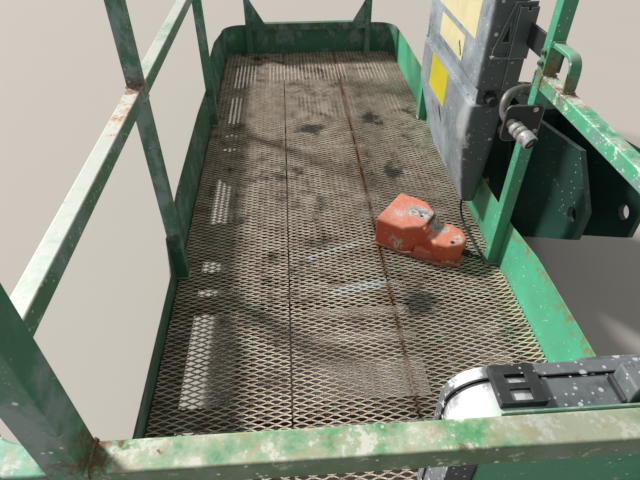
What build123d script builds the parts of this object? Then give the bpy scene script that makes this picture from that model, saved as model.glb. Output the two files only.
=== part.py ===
from build123d import *
import os
from math import cos, hypot, pi, radians, sin, tan

# Work platform of an articulating boom lift, in millimetres.
# The origin is on the ground under the middle of the floor. +Z is up, +Y runs
# along the platform from its near end to the far entry, +X is the boom side.

# Overall sizes
platform_width = 930.0        # over the side posts
platform_length = 2600.0      # over the end posts
rail_height = 1100.0          # top of the top rail, above the floor
mid_rail_height = 565.0       # top of the mid rail, above the floor
kick_height = 152.0           # top of the kick plates, above the floor
tube = 32.0                   # square tube of posts and rails
bend_radius = 100.0           # outer radius of the rounded plan corners

# Floor
support_height = 76.0
support_width = 51.0
frame_tube = 51.0
cross_tube = 38.0
mesh_thickness = 5.0
mesh_gap = 1.0                # running gap of the mesh round posts and at seams
seam_left = -147.0
seam_right = 131.0
stringer_rows = (-255.0, 208.0)
support_y = 230.0             # the two support tubes, either side of the middle
support_inner_x = 45.0 - platform_width / 2
cross_rows = (-913.0, -570.0, -475.0, -355.0, -245.0, 100.0, 215.0, 335.0, 450.0, 826.0)

# Posts
post_y = 464.0                # side posts, either side of the middle
gate_opening = 614.0
gate_offset = -5.0            # the gate posts stand a little left of the middle

# Kick plates
kick_sheet = 3.0
kick_drop = 25.0              # how far they lap down over the floor frame
kick_joint = 0.6              # open joint between two plates of one side

# Levels and faces that follow from these
frame_bottom = support_height
frame_top = frame_bottom + frame_tube
floor_top = frame_top + mesh_thickness
mid_top = floor_top + mid_rail_height
rail_top = floor_top + rail_height
kick_top = floor_top + kick_height
kick_bottom = floor_top - mesh_thickness - kick_drop
half_width = platform_width / 2
half_length = platform_length / 2
straight_x = half_width - bend_radius
straight_y = half_length - bend_radius
post_inner_x = half_width - tube
end_inner_y = half_length - tube
gate_left = gate_offset - gate_opening / 2
gate_right = gate_offset + gate_opening / 2

os.makedirs("parts", exist_ok=True)


def save(part, name):
    """Label a finished piece and write it as one STEP file."""
    part.label = name
    export_step(part, "parts/" + name + ".step")


def block(x0, x1, y0, y1, z0, z1):
    """A box between two corners, added to the open part."""
    size = (x1 - x0, y1 - y0, z1 - z0)
    with Locations(((x0 + x1) / 2, (y0 + y1) / 2, (z0 + z1) / 2)):
        Box(*size)


def bent_corners(name, section, z_mid, thick, radius, end_x):
    """Four quarter bends of a rectangular section, one at each plan corner."""
    with BuildPart() as corners:
        for side_x in (-1, 1):
            for side_y in (-1, 1):
                centre = (side_x * (half_width - radius), side_y * (half_length - radius))
                inner = radius - thick
                with BuildSketch(Plane.XY.offset(z_mid - section / 2)):
                    with BuildLine():
                        Line((centre[0], centre[1] + side_y * inner), (centre[0], centre[1] + side_y * radius))
                        JernArc(
                            (centre[0], centre[1] + side_y * radius),
                            (side_x, 0),
                            radius,
                            -90 * side_x * side_y,
                        )
                        Line((centre[0] + side_x * radius, centre[1]), (centre[0] + side_x * inner, centre[1]))
                        JernArc(
                            (centre[0] + side_x * inner, centre[1]),
                            (0, side_y),
                            inner,
                            90 * side_x * side_y,
                        )
                    make_face()
                    if end_x is not None:
                        stub_end = end_x[side_x]
                        with Locations(((stub_end + centre[0]) / 2, side_y * (half_length - thick / 2))):
                            Rectangle(abs(stub_end - centre[0]), thick)
                extrude(amount=section)
                if end_x is not None:
                    # nothing of the bend may reach past the gate post
                    with Locations((stub_end / 2, side_y * (half_length - radius / 2), z_mid)):
                        Box(abs(stub_end), radius, section, mode=Mode.SUBTRACT)
    save(corners.part, name)


# Support frame under the floor: two tubes that run out to the rotator bracket, and a tie
rotator_x = half_width + 195.0
rotator_radius = 75.0
bracket_plate = 12.0
bracket_x = rotator_x - rotator_radius - 20.0
with BuildPart() as supports:
    for row in (-support_y, support_y):
        block(support_inner_x, bracket_x, row - support_width / 2, row + support_width / 2, 0, support_height)
    block(-support_width / 2, support_width / 2, -support_y, support_y, 0, support_height)
save(supports.part, "support_tubes")

# Floor frame: long sides, ends, bent corners, cross members and stringers
with BuildPart() as frame_sides:
    for side in (-1, 1):
        centre_x = side * (half_width - frame_tube / 2)
        with Locations((centre_x, 0, frame_bottom + frame_tube / 2)):
            Box(frame_tube, 2 * straight_y, frame_tube)
save(frame_sides.part, "floor_side_tubes")

with BuildPart() as frame_ends:
    for side in (-1, 1):
        centre_y = side * (half_length - frame_tube / 2)
        with Locations((0, centre_y, frame_bottom + frame_tube / 2)):
            Box(2 * straight_x, frame_tube, frame_tube)
save(frame_ends.part, "floor_end_tubes")

bent_corners("floor_corners", frame_tube, frame_bottom + frame_tube / 2, frame_tube, bend_radius, None)

with BuildPart() as cross_members:
    for row in cross_rows:
        inner = half_width - frame_tube
        block(-inner, inner, row - cross_tube / 2, row + cross_tube / 2, frame_top - cross_tube, frame_top)
save(cross_members.part, "floor_cross_members")

with BuildPart() as stringers:
    starts = (-half_length + frame_tube,) + tuple(row + cross_tube / 2 for row in cross_rows)
    ends = tuple(row - cross_tube / 2 for row in cross_rows) + (half_length - frame_tube,)
    for centre_x in stringer_rows:
        for start, end in zip(starts, ends):
            block(centre_x - frame_tube / 2, centre_x + frame_tube / 2, start, end, frame_top - cross_tube, frame_top)
save(stringers.part, "floor_stringers")

# Expanded metal floor in three lengthwise sheets, notched round every post. Its diamonds are
# drawn larger than the real ones of 38 by 16 mm, as rows that are shifted by half a diamond
mesh_across = 2
mesh_rows = 24
mesh_strand = 16.0
mesh_rim = 8.0
open_length = platform_length - 2 * frame_tube
open_width = platform_width - 2 * frame_tube
half_short = open_length / mesh_rows / 2
# name, left edge, right edge
sheets = (
    ("floor_mesh_left", -half_width + mesh_gap, seam_left - mesh_gap / 2),
    ("floor_mesh_middle", seam_left + mesh_gap / 2, seam_right - mesh_gap / 2),
    ("floor_mesh_right", seam_right + mesh_gap / 2, half_width - mesh_gap),
)
side_post_places = tuple((x, y) for x in (-1, 1) for y in (-post_y, post_y))
notch = tube + 2 * mesh_gap
for sheet_name, left_edge, right_edge in sheets:
    with BuildPart() as sheet:
        with BuildSketch(Plane.XY.offset(frame_top)) as outline:
            Rectangle(platform_width - 2 * mesh_gap, platform_length - 2 * mesh_gap)
            fillet(outline.vertices(), bend_radius - mesh_gap)
            with Locations(((left_edge + right_edge) / 2, 0)):
                Rectangle(right_edge - left_edge, platform_length, mode=Mode.INTERSECT)
            for side, row in side_post_places:
                with Locations((side * (half_width - tube / 2), row)):
                    Rectangle(notch, notch, mode=Mode.SUBTRACT)
            for column in (gate_left - tube / 2, gate_right + tube / 2):
                for row in (-1, 1):
                    with Locations((column, row * (half_length - tube / 2))):
                        Rectangle(notch, notch, mode=Mode.SUBTRACT)
        extrude(amount=mesh_thickness)
        open_left = max(left_edge + mesh_rim, -open_width / 2)
        open_right = min(right_edge - mesh_rim, open_width / 2)
        half_long = (open_right - open_left) / mesh_across / 2
        spread = mesh_strand / 2 * hypot(half_long, half_short) / (half_long * half_short)
        tip_x = half_long * (1 - spread)
        tip_y = half_short * (1 - spread)
        places = [
            (open_left + column * half_long, row * half_short - open_length / 2)
            for row in range(1, 2 * mesh_rows)
            for column in range(2 * mesh_across + 1)
            if (row + column) % 2 == 0
        ]
        with BuildSketch(Plane.XY.offset(frame_top)):
            with Locations(*places):
                Polygon((tip_x, 0), (0, tip_y), (-tip_x, 0), (0, -tip_y))
            with Locations(((open_left + open_right) / 2, 0)):
                Rectangle(open_right - open_left, open_length, mode=Mode.INTERSECT)
            RectangleRounded(open_width, open_length, bend_radius - frame_tube, mode=Mode.INTERSECT)
        extrude(amount=mesh_thickness, mode=Mode.SUBTRACT)
    save(sheet.part, sheet_name)

# Kick plates: between the posts, and round the corners
kick_mid = (kick_top + kick_bottom) / 2
kick_tall = kick_top - kick_bottom
kick_runs = (
    (-straight_y, -post_y - kick_joint / 2),
    (-post_y + kick_joint / 2, post_y - kick_joint / 2),
    (post_y + kick_joint / 2, straight_y),
)
# How far each plate's top edge is knocked out (+) or in (-): near, middle, far
kick_dents = {-1: (-37.0, 6.0, 22.0), 1: (18.0, -6.0, 5.0)}
kick_lap = tube / 2 + 4.0      # stretch behind each post that stays straight
kick_ramp = 0.22               # share of the plate over which the dent grows


def kick_plate(face, out, start, end, dent):
    """One side plate: flat against the floor frame, its upper edge pushed over by the dent."""
    ramp = (end - start) * kick_ramp
    stations = (start + kick_lap, start + ramp, end - ramp, end - kick_lap)
    with BuildPart() as plate:
        with Locations((face + out / 2, (start + end) / 2, (kick_bottom + floor_top) / 2)):
            Box(abs(out), end - start, floor_top - kick_bottom)
        for lap_start in (start, end - kick_lap):
            with Locations((face + out / 2, lap_start + kick_lap / 2, (floor_top + kick_top) / 2)):
                Box(abs(out), kick_lap, kick_top - floor_top)
        for station, shift in zip(stations, (0.0, dent, dent, 0.0)):
            with BuildSketch(Plane.XZ.offset(-station)):
                with BuildLine():
                    Polyline(
                        (face, floor_top),
                        (face + out, floor_top),
                        (face + out + shift, kick_top),
                        (face + shift, kick_top),
                        close=True,
                    )
                make_face()
        loft(ruled=True)
    return plate.part


for side, side_name in ((-1, "left"), (1, "right")):
    plates = [
        kick_plate(side * half_width, side * kick_sheet, run_start, run_end, side * dent)
        for (run_start, run_end), dent in zip(kick_runs, kick_dents[side])
    ]
    with BuildPart() as kick_side:
        add(plates)
    save(kick_side.part, "kick_plates_" + side_name)

for side, end_name in ((-1, "near"), (1, "far")):
    with BuildPart() as kick_end:
        with Locations((0, side * (half_length + kick_sheet / 2), kick_mid)):
            Box(2 * straight_x, kick_sheet, kick_tall)
    save(kick_end.part, "kick_plate_" + end_name)

with BuildPart() as kick_corners:
    for side_x in (-1, 1):
        for side_y in (-1, 1):
            centre = (side_x * straight_x, side_y * straight_y)
            outer = bend_radius + kick_sheet
            with BuildSketch(Plane.XY.offset(kick_bottom)):
                with Locations(centre):
                    Circle(outer)
                    Circle(bend_radius, mode=Mode.SUBTRACT)
                with Locations((centre[0] + side_x * outer / 2, centre[1] + side_y * outer / 2)):
                    Rectangle(outer, outer, mode=Mode.INTERSECT)
            extrude(amount=kick_tall)
save(kick_corners.part, "kick_corners")

# Side posts: on the left a lower half under the mid rail and an upper half on it, on the
# right in one length, because the console fills the mid rail's middle stretch there
post_foot = frame_top
post_head = rail_top - tube
post_lengths = {-1: ((post_foot, mid_top - tube), (mid_top, post_head)), 1: ((post_foot, post_head),)}
for side, side_name in ((-1, "left"), (1, "right")):
    with BuildPart() as side_posts:
        for row in (-post_y, post_y):
            for low, high in post_lengths[side]:
                with Locations((side * (half_width - tube / 2), row, (low + high) / 2)):
                    Box(tube, tube, high - low)
    save(side_posts.part, "side_posts_" + side_name)

# Gate posts at both ends, from the floor frame to the top rail
for side, end_name in ((-1, "near"), (1, "far")):
    with BuildPart() as gate_posts:
        for column in (gate_left - tube / 2, gate_right + tube / 2):
            with Locations((column, side * (half_length - tube / 2), (frame_top + rail_top) / 2)):
                Box(tube, tube, rail_top - frame_top)
    save(gate_posts.part, "gate_posts_" + end_name)

# Rails: straight runs, bent corners that end at the gate posts, and the near end
stub_ends = {-1: gate_left - tube, 1: gate_right + tube}
for level_name, level in (("mid", mid_top), ("top", rail_top)):
    centre_z = level - tube / 2
    for side, side_name in ((-1, "left"), (1, "right")):
        split = level_name == "mid" and side_name == "right"
        post_face = post_y + tube / 2
        runs = ((-straight_y, -post_face), (post_face, straight_y)) if split else ((-straight_y, straight_y),)
        with BuildPart() as side_rail:
            for start, end in runs:
                with Locations((side * (half_width - tube / 2), (start + end) / 2, centre_z)):
                    Box(tube, end - start, tube)
        save(side_rail.part, level_name + "_rail_" + side_name)
    bent_corners(level_name + "_rail_corners", tube, centre_z, tube, bend_radius, stub_ends)
    with BuildPart() as near_rail:
        block(gate_left, gate_right, -half_length, -end_inner_y, level - tube, level)
    save(near_rail.part, level_name + "_rail_near")

# Far entry: threshold tube between the gate posts, with a gusset at each post
threshold_top = floor_top + 165.0
threshold_tube = 35.0
gusset_foot = 70.0
gusset_rise = 115.0
gusset_sheet = 6.0
with BuildPart() as threshold:
    block(gate_left, gate_right, end_inner_y, half_length, threshold_top - threshold_tube, threshold_top)
    for column, inward in ((gate_left, 1), (gate_right, -1)):
        with BuildSketch(Plane.XZ.offset(-half_length + tube / 2 + gusset_sheet / 2)):
            with BuildLine():
                Polyline(
                    (column, threshold_top),
                    (column, threshold_top + gusset_rise),
                    (column + inward * gusset_foot, threshold_top),
                    close=True,
                )
            make_face()
        extrude(amount=gusset_sheet)
save(threshold.part, "threshold")

# Entry gate at the far end: two stiles and two rails, hung on pins at the left post
gate_gap = 12.0
gate_stile = 25.0
gate_pin_radius = 8.0
gate_sleeve_radius = 13.0
pin_clearance = 0.1
gate_top = rail_top
gate_low = mid_top - tube
hinge_x = gate_left + gate_sleeve_radius + 6.0
hinge_y = end_inner_y - gate_sleeve_radius - 4.0
gate_y = half_length - tube / 2
stile_x = (hinge_x + gate_sleeve_radius + gate_stile / 2 + 4.0, gate_right - gate_gap - gate_stile / 2)
with BuildPart() as stiles:
    for column in stile_x:
        with Locations((column, gate_y, (gate_low + gate_top) / 2)):
            Box(gate_stile, gate_stile, gate_top - gate_low)
save(stiles.part, "gate_stiles")

with BuildPart() as gate_rails:
    inner_left = stile_x[0] + gate_stile / 2
    inner_right = stile_x[1] - gate_stile / 2
    for level in (gate_low, gate_top - gate_stile):
        block(inner_left, inner_right, gate_y - gate_stile / 2, gate_y + gate_stile / 2, level, level + gate_stile)
save(gate_rails.part, "gate_rails")

sleeve_height = 60.0
hinge_levels = (gate_low + 90.0, gate_top - 90.0)
with BuildPart() as hinge_sleeves:
    for level in hinge_levels:
        with Locations((hinge_x, hinge_y, level)):
            Cylinder(gate_sleeve_radius, sleeve_height)
        block(
            hinge_x,
            stile_x[0] - gate_stile / 2,
            hinge_y - 4.0,
            hinge_y + 4.0,
            level - sleeve_height / 2,
            level + sleeve_height / 2,
        )
        block(
            stile_x[0] - gate_stile / 2 - 6.0,
            stile_x[0] - gate_stile / 2,
            hinge_y - 4.0,
            gate_y + gate_stile / 2,
            level - sleeve_height / 2,
            level + sleeve_height / 2,
        )
        with Locations((hinge_x, hinge_y, level)):
            Cylinder(gate_pin_radius + pin_clearance, sleeve_height, mode=Mode.SUBTRACT)
save(hinge_sleeves.part, "gate_hinge_sleeves")

lug_thick = 8.0
lug_gap = 0.5
with BuildPart() as hinge_lugs:
    for level in hinge_levels:
        lug_top = level - sleeve_height / 2 - lug_gap
        with Locations((hinge_x, hinge_y, lug_top - lug_thick / 2)):
            Cylinder(gate_sleeve_radius, lug_thick)
        block(gate_left - tube / 2, hinge_x, hinge_y - 6.0, end_inner_y, lug_top - lug_thick, lug_top)
        with Locations((hinge_x, hinge_y, (lug_top + level + sleeve_height / 2 + 4.0) / 2)):
            Cylinder(gate_pin_radius, level + sleeve_height / 2 + 4.0 - lug_top)
save(hinge_lugs.part, "gate_hinge_pins")

stop_sheet = 5.0
stop_width = 50.0
with BuildPart() as gate_stop:
    block(
        gate_right - stop_width / 2,
        gate_right + stop_width / 2,
        half_length,
        half_length + stop_sheet,
        gate_low + 60.0,
        gate_low + 130.0,
    )
save(gate_stop.part, "gate_stop")

# Lanyard ring: flat bar from the right near post, bent over and down to the mid rail
ring_bar = 9.0
ring_width = 25.0
ring_reach = 95.0
ring_rise = 72.0
ring_bend = 32.0
post_near_face = -post_y - tube / 2
with BuildPart() as lanyard_ring:
    for inset, mode in ((0, Mode.ADD), (ring_bar, Mode.SUBTRACT)):
        reach = ring_reach - inset
        rise = ring_rise - inset
        with BuildSketch(Plane.YZ.offset(half_width - tube / 2 - ring_width / 2)) as ring_outline:
            with Locations((post_near_face - reach / 2, mid_top + rise / 2)):
                Rectangle(reach, rise)
            fillet(ring_outline.vertices().group_by(Axis.Y)[-1].sort_by(Axis.X)[0], ring_bend - inset)
        extrude(amount=ring_width, mode=mode)
save(lanyard_ring.part, "lanyard_ring")

# Control console on the boom side, between the right posts: a moulded lower cover that
# narrows downwards, a recessed neck, the box, and the head with the controls
console_width = 570.0
console_near = -console_width / 2
console_far = console_width / 2
box_outer = half_width
box_inner = box_outer - 93.0
box_corner = 24.0
seam_z = floor_top + 445.0
box_top = floor_top + 800.0
neck_height = 42.0
neck_inset = 14.0
cover_top = seam_z - neck_height
cover_bottom = floor_top + 85.0
cover_inner = box_outer - 98.0
cover_outer = box_outer - 5.0
with BuildPart() as cover:
    # level, inner x, outer x, near y, far y, corner radius
    cover_sections = (
        (cover_bottom, cover_inner + 31.0, cover_outer - 18.0, console_near - 4.0, console_near + 355.0, 16.0),
        (cover_bottom + 45.0, cover_inner + 22.0, cover_outer - 13.0, console_near - 2.0, console_far - 118.0, 22.0),
        (cover_bottom + 185.0, cover_inner, cover_outer, console_near, console_far, 24.0),
        (cover_top, cover_inner, cover_outer, console_near, console_far, 24.0),
    )
    for level, x0, x1, y0, y1, corner in cover_sections:
        with BuildSketch(Plane.XY.offset(level)):
            with Locations(((x0 + x1) / 2, (y0 + y1) / 2)):
                RectangleRounded(x1 - x0, y1 - y0, corner)
    loft(ruled=True)
    with BuildSketch(Plane.XY.offset(cover_top)):
        with Locations(((cover_inner + cover_outer + neck_inset) / 2, 0)):
            Rectangle(cover_outer - cover_inner - neck_inset, console_width - 2 * neck_inset)
    extrude(amount=neck_height)
save(cover.part, "console_cover")

groove_level = floor_top + 540.0
groove_size = 3.0
with BuildPart() as console_box:
    with BuildSketch(Plane.XY.offset(seam_z)):
        with Locations(((box_inner + box_outer) / 2, 0)):
            RectangleRounded(box_outer - box_inner, console_width, box_corner)
    extrude(amount=box_top - seam_z)
    with BuildSketch(Plane.XY.offset(groove_level)):
        with Locations((box_inner, 0)):
            Rectangle(2 * groove_size, console_width)
    extrude(amount=groove_size, mode=Mode.SUBTRACT)
save(console_box.part, "console_box")

head_inner = box_outer - 230.0
head_outer = post_inner_x - 5.0
head_lip = 60.0
head_front_top = box_top + 130.0
head_back_top = box_top + 220.0
with BuildPart() as head:
    with BuildSketch(Plane.XZ.offset(-console_far)) as head_profile:
        with BuildLine():
            Polyline(
                (head_outer, box_top),
                (box_inner, box_top),
                (head_inner, head_front_top - head_lip),
                (head_inner, head_front_top),
                (head_outer, head_back_top),
                close=True,
            )
        make_face()
    extrude(amount=console_width)
    fillet(head.edges().filter_by(Axis.Y).sort_by(Axis.X)[:2], 12.0)
save(head.part, "console_head")

# Joysticks, switches and the stop button stand on the sloped face of the head
slope = (head_back_top - head_front_top) / (head_outer - head_inner)
slope_normal = Vector(-slope, 0, 1).normalized()
face_mid_x = (head_inner + head_outer) / 2


def face_plane(x, y):
    """A plane on the sloped face of the console head, its normal off the face."""
    height = head_front_top + slope * (x - head_inner)
    return Plane(origin=(x, y, height), x_dir=(1, 0, slope), z_dir=slope_normal)


boot_radius = 28.0
boot_neck = 11.0
boot_height = 32.0
lever_radius = 6.0
lever_length = 62.0
grip_radius = 13.0
grip_length = 34.0
grip_edge = 4.0
joystick_inset = 90.0         # from each side of the head
# name, place across the head
joysticks = (("joystick_drive", console_far - joystick_inset), ("joystick_boom", console_near + joystick_inset))
for joystick_name, row in joysticks:
    foot = face_plane(face_mid_x, row)
    with BuildPart() as joystick:
        with BuildSketch(foot):
            Circle(boot_radius)
        with BuildSketch(foot.offset(boot_height)):
            Circle(boot_neck)
        loft()
        with BuildSketch(foot.offset(boot_height)):
            Circle(lever_radius)
        extrude(amount=lever_length)
        with BuildSketch(foot.offset(boot_height + lever_length)):
            Circle(grip_radius)
        extrude(amount=grip_length)
        chamfer(joystick.faces().sort_by(Axis.Z)[-1].edges(), grip_edge)
    save(joystick.part, joystick_name)

toggle_pitch = 34.0
toggle_count = 4
toggle_row_x = head_inner + 45.0
toggle_boss = 9.0
toggle_boss_height = 6.0
toggle_radius = 3.0
toggle_length = 20.0
with BuildPart() as switches:
    for index in range(toggle_count):
        place = face_plane(toggle_row_x, (index - (toggle_count - 1) / 2) * toggle_pitch)
        with BuildSketch(place):
            Circle(toggle_boss)
        extrude(amount=toggle_boss_height)
        with BuildSketch(place.offset(toggle_boss_height)):
            Circle(toggle_radius)
        extrude(amount=toggle_length)
save(switches.part, "console_switches")

button_place = face_plane(head_outer - 45.0, 0)
button_neck = 20.0
button_neck_height = 12.0
button_radius = 28.0
button_height = 14.0
with BuildPart() as stop_button:
    with BuildSketch(button_place):
        Circle(button_neck)
    extrude(amount=button_neck_height)
    with BuildSketch(button_place.offset(button_neck_height)):
        Circle(button_radius)
    extrude(amount=button_height)
save(stop_button.part, "stop_button")

# Two hangers from the top rail, and the mounting bar across the outside of the posts
strap_sheet = post_inner_x - head_outer
strap_width = 60.0
strap_inset = 70.0
bar_sheet = 6.0
bar_low = mid_top + 5.0
bar_height = 54.0
bar_reach = post_y + tube / 2
with BuildPart() as straps:
    for row in (console_near + strap_inset, console_far - strap_inset):
        block(head_outer, head_outer + strap_sheet, row - strap_width / 2, row + strap_width / 2, box_top, rail_top)
    block(half_width, half_width + bar_sheet, -bar_reach, bar_reach, bar_low, bar_low + bar_height)
save(straps.part, "console_straps")

# Guard on the near side of the box: a folded shelf, a plate with a sloped edge and a hole
# above it, a raised box with a notched top, and a cheek below that reaches past the box
guard_sheet = 4.0
guard_reach = 16.0
guard_left = box_inner + 14.0
guard_right = half_width + 12.0
guard_plate_left = guard_right - 54.0
guard_cheek_left = guard_right - 40.0
guard_top = groove_level + 128.0
guard_step = 16.0
guard_box_left = guard_right - 47.0
guard_box_top = guard_top - 10.0
guard_notch = 8.0
guard_rim = 12.0
guard_hole_low = groove_level + 34.0
guard_hole_high = groove_level + 78.0
with BuildPart() as guard:
    block(guard_left, guard_right, console_near - guard_reach, console_near, groove_level - guard_sheet, groove_level)
    block(
        guard_cheek_left,
        guard_right,
        console_near - guard_sheet,
        console_near,
        seam_z + guard_sheet,
        groove_level - guard_sheet,
    )
    with BuildSketch(Plane.XZ.offset(-console_near)):
        with BuildLine():
            Polyline(
                (guard_left + guard_sheet, groove_level),
                (guard_left + guard_sheet, groove_level + guard_step),
                (guard_plate_left, guard_top),
                (guard_right, guard_top),
                (guard_right, groove_level),
                close=True,
            )
        make_face()
    extrude(amount=guard_sheet)
    with BuildSketch(Plane.XZ.offset(-console_near)):
        with BuildLine():
            Polyline(
                (guard_left + guard_sheet + 1.5 * guard_rim, guard_hole_low),
                (guard_left + guard_sheet + 2.5 * guard_rim, guard_hole_high),
                (guard_box_left - guard_sheet, guard_hole_low),
                close=True,
            )
        make_face()
    extrude(amount=guard_sheet, mode=Mode.SUBTRACT)
    for left, right, back in (
        (guard_box_left, guard_box_left + guard_sheet, console_near - guard_sheet),
        (guard_right - guard_sheet, guard_right, console_near - guard_sheet),
        (guard_box_left, guard_right, console_near - guard_reach + guard_sheet),
    ):
        block(left, right, console_near - guard_reach, back, groove_level, guard_box_top)
    with Locations(((guard_box_left + guard_right) / 2, console_near - guard_reach, guard_box_top)):
        Box(guard_notch, 3 * guard_sheet, 2 * guard_notch, mode=Mode.SUBTRACT)
    with Locations((half_width + bar_sheet / 2, console_near, bar_low + bar_height / 2)):
        Box(bar_sheet, 2 * guard_reach, bar_height, mode=Mode.SUBTRACT)
save(guard.part, "console_guard")

# Plug connector below the shelf
plug_x = box_inner + 44.0
plug_z = seam_z - 22.0
plug_collar = 18.0
plug_collar_length = 6.0
plug_radius = 14.0
plug_length = 30.0
with BuildPart() as plug:
    with BuildSketch(Plane.XZ.offset(-console_near - neck_inset)):
        with Locations((plug_x, plug_z)):
            Circle(plug_collar)
    extrude(amount=plug_collar_length)
    with BuildSketch(Plane.XZ.offset(-console_near - neck_inset + plug_collar_length)):
        with Locations((plug_x, plug_z)):
            RegularPolygon(plug_radius, 8)
    extrude(amount=plug_length)
save(plug.part, "console_connector")

# Coupling on the near face of the right near post: a bulkhead plate, an open barrel that
# leans off it, and a bent pipe behind it that runs out under the mounting bar
plate_sheet = 5.0
plate_left = post_inner_x - 61.0
plate_right = half_width - 5.0
plate_low = floor_top + 410.0
plate_high = floor_top + 498.0
plate_corner = 14.0
plate_y = post_near_face
with BuildPart() as bulkhead:
    with BuildSketch(Plane.XZ.offset(-plate_y)):
        with Locations(((plate_left + plate_right) / 2, (plate_low + plate_high) / 2)):
            RectangleRounded(plate_right - plate_left, plate_high - plate_low, plate_corner)
    extrude(amount=plate_sheet)
save(bulkhead.part, "coupling_plate")


def corner_radii(points):
    """As large a radius at each corner as its two runs allow."""
    radii = []
    for before, corner, after in zip(points[:-2], points[1:-1], points[2:]):
        run_in = corner - before
        run_out = after - corner
        turn = run_in.get_angle(run_out)
        radii.append(0.45 * min(run_in.length, run_out.length) / tan(radians(turn) / 2))
    return radii


pipe_radius = 11.0
coupling_x = post_inner_x - 40.0
coupling_z = floor_top + 453.0
pipe_points = (
    Vector(coupling_x, plate_y, coupling_z),
    Vector(coupling_x - 12.0, plate_y + 26.0, coupling_z + 8.0),
    Vector(coupling_x - 10.0, plate_y + 42.0, coupling_z + 46.0),
    Vector(coupling_x + 24.0, plate_y + 62.0, coupling_z + 54.0),
    Vector(half_width + 35.0, plate_y + 96.0, coupling_z + 42.0),
)
with BuildPart() as bent_pipe:
    with BuildLine() as pipe_path:
        FilletPolyline(*pipe_points, radius=corner_radii(pipe_points))
    with BuildSketch(Plane(origin=pipe_path.line @ 0, z_dir=pipe_path.line % 0)):
        Circle(pipe_radius)
    sweep()
    with Locations((coupling_x, plate_y - pipe_radius, coupling_z)):
        Box(4 * pipe_radius, 2 * pipe_radius, 4 * pipe_radius, mode=Mode.SUBTRACT)
save(bent_pipe.part, "coupling_pipe")

barrel_y = plate_y - plate_sheet
barrel_aim = Vector(0.38, -0.88, -0.28)
barrel_plane = Plane(origin=(coupling_x, barrel_y, coupling_z), z_dir=barrel_aim)
# distance along the barrel where a ring starts and ends, and its radius
barrel_rings = (
    (-14.0, 10.0, 13.0),
    (10.0, 20.0, 17.0),
    (20.0, 26.0, 14.0),
    (26.0, 34.0, 17.0),
    (34.0, 42.0, 15.0),
    (42.0, 68.0, 18.0),
)
barrel_bore = 11.0
barrel_bore_depth = 40.0
with BuildPart() as barrel:
    for start, end, radius in barrel_rings:
        with BuildSketch(barrel_plane.offset(start)):
            Circle(radius)
        extrude(amount=end - start)
    with BuildSketch(barrel_plane.offset(barrel_rings[-1][1])):
        Circle(barrel_bore)
    extrude(amount=-barrel_bore_depth, mode=Mode.SUBTRACT)
    with Locations((coupling_x, barrel_y + pipe_radius, coupling_z)):
        Box(6 * pipe_radius, 2 * pipe_radius, 6 * pipe_radius, mode=Mode.SUBTRACT)
save(barrel.part, "coupling")

# Foot switch on the floor, turned so that its mouth faces the operator's side. Its plan
# coordinates run along it (from the mouth to the heel) and across it.
switch_turn = -38.0
switch_x = post_inner_x - 171.0
switch_y = 88.0 - post_y
switch_dir = Vector(cos(radians(switch_turn)), sin(radians(switch_turn)), 0)
switch_floor = Plane(origin=(switch_x, switch_y, floor_top), x_dir=switch_dir, z_dir=(0, 0, 1))
switch_side = Plane(origin=(switch_x, switch_y, floor_top), x_dir=switch_dir, z_dir=(-switch_dir.Y, switch_dir.X, 0))
base_sheet = 5.0
shell_wall = 4.0
hood_height = 100.0
heel_height = 70.0
soft_edge = 7.0
mouth_half = 82.0
# along, half width
hood_plan = ((-120.0, mouth_half), (-30.0, 80.0), (15.0, 43.0))
neck_plan = ((10.0, 43.0), (30.0, 43.0))
heel_plan = ((25.0, 45.0), (60.0, 57.0), (100.0, 50.0), (130.0, 20.0))
neck_height = 88.0


def plan_outline(plan, inset):
    """A closed outline, the same on both sides, drawn in the open line block."""
    left = [(along, half - inset) for along, half in plan]
    right = [(along, -half) for along, half in reversed(left)]
    Polyline(*left, *right, close=True)


with BuildPart() as shell:
    for plan, tall in ((hood_plan, hood_height), (neck_plan, neck_height), (heel_plan, heel_height)):
        with BuildSketch(switch_floor.offset(base_sheet)):
            with BuildLine():
                plan_outline(plan, 0)
            make_face()
        extrude(amount=tall - soft_edge - base_sheet)
        for level, inset in ((tall - soft_edge, 0.0), (tall, soft_edge)):
            with BuildSketch(switch_floor.offset(level)):
                with BuildLine():
                    plan_outline(plan, inset)
                make_face()
        loft(ruled=True)
    # the hood is open in front and below, and its side walls are cut back to the floor
    with BuildSketch(switch_floor):
        with BuildLine():
            plan_outline(((-2 * mouth_half, mouth_half), hood_plan[1], hood_plan[2]), shell_wall)
        make_face()
    extrude(amount=hood_height - soft_edge, mode=Mode.SUBTRACT)
    with BuildSketch(switch_side):
        with BuildLine():
            Polyline(
                (-120.0, hood_height - soft_edge),
                (-64.0, 60.0),
                (-34.0, 0.0),
                (-2 * mouth_half, 0.0),
                (-2 * mouth_half, hood_height - soft_edge),
                close=True,
            )
        make_face()
    extrude(amount=2 * mouth_half, both=True, mode=Mode.SUBTRACT)
save(shell.part, "foot_switch_shell")

# along, half width
base_plan = ((-118.0, 84.0), (80.0, 68.0), (138.0, 34.0))
with BuildPart() as switch_base:
    with BuildSketch(switch_floor):
        with BuildLine():
            plan_outline(base_plan, 0)
        make_face()
    extrude(amount=base_sheet)
save(switch_base.part, "foot_switch_base")

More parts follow.
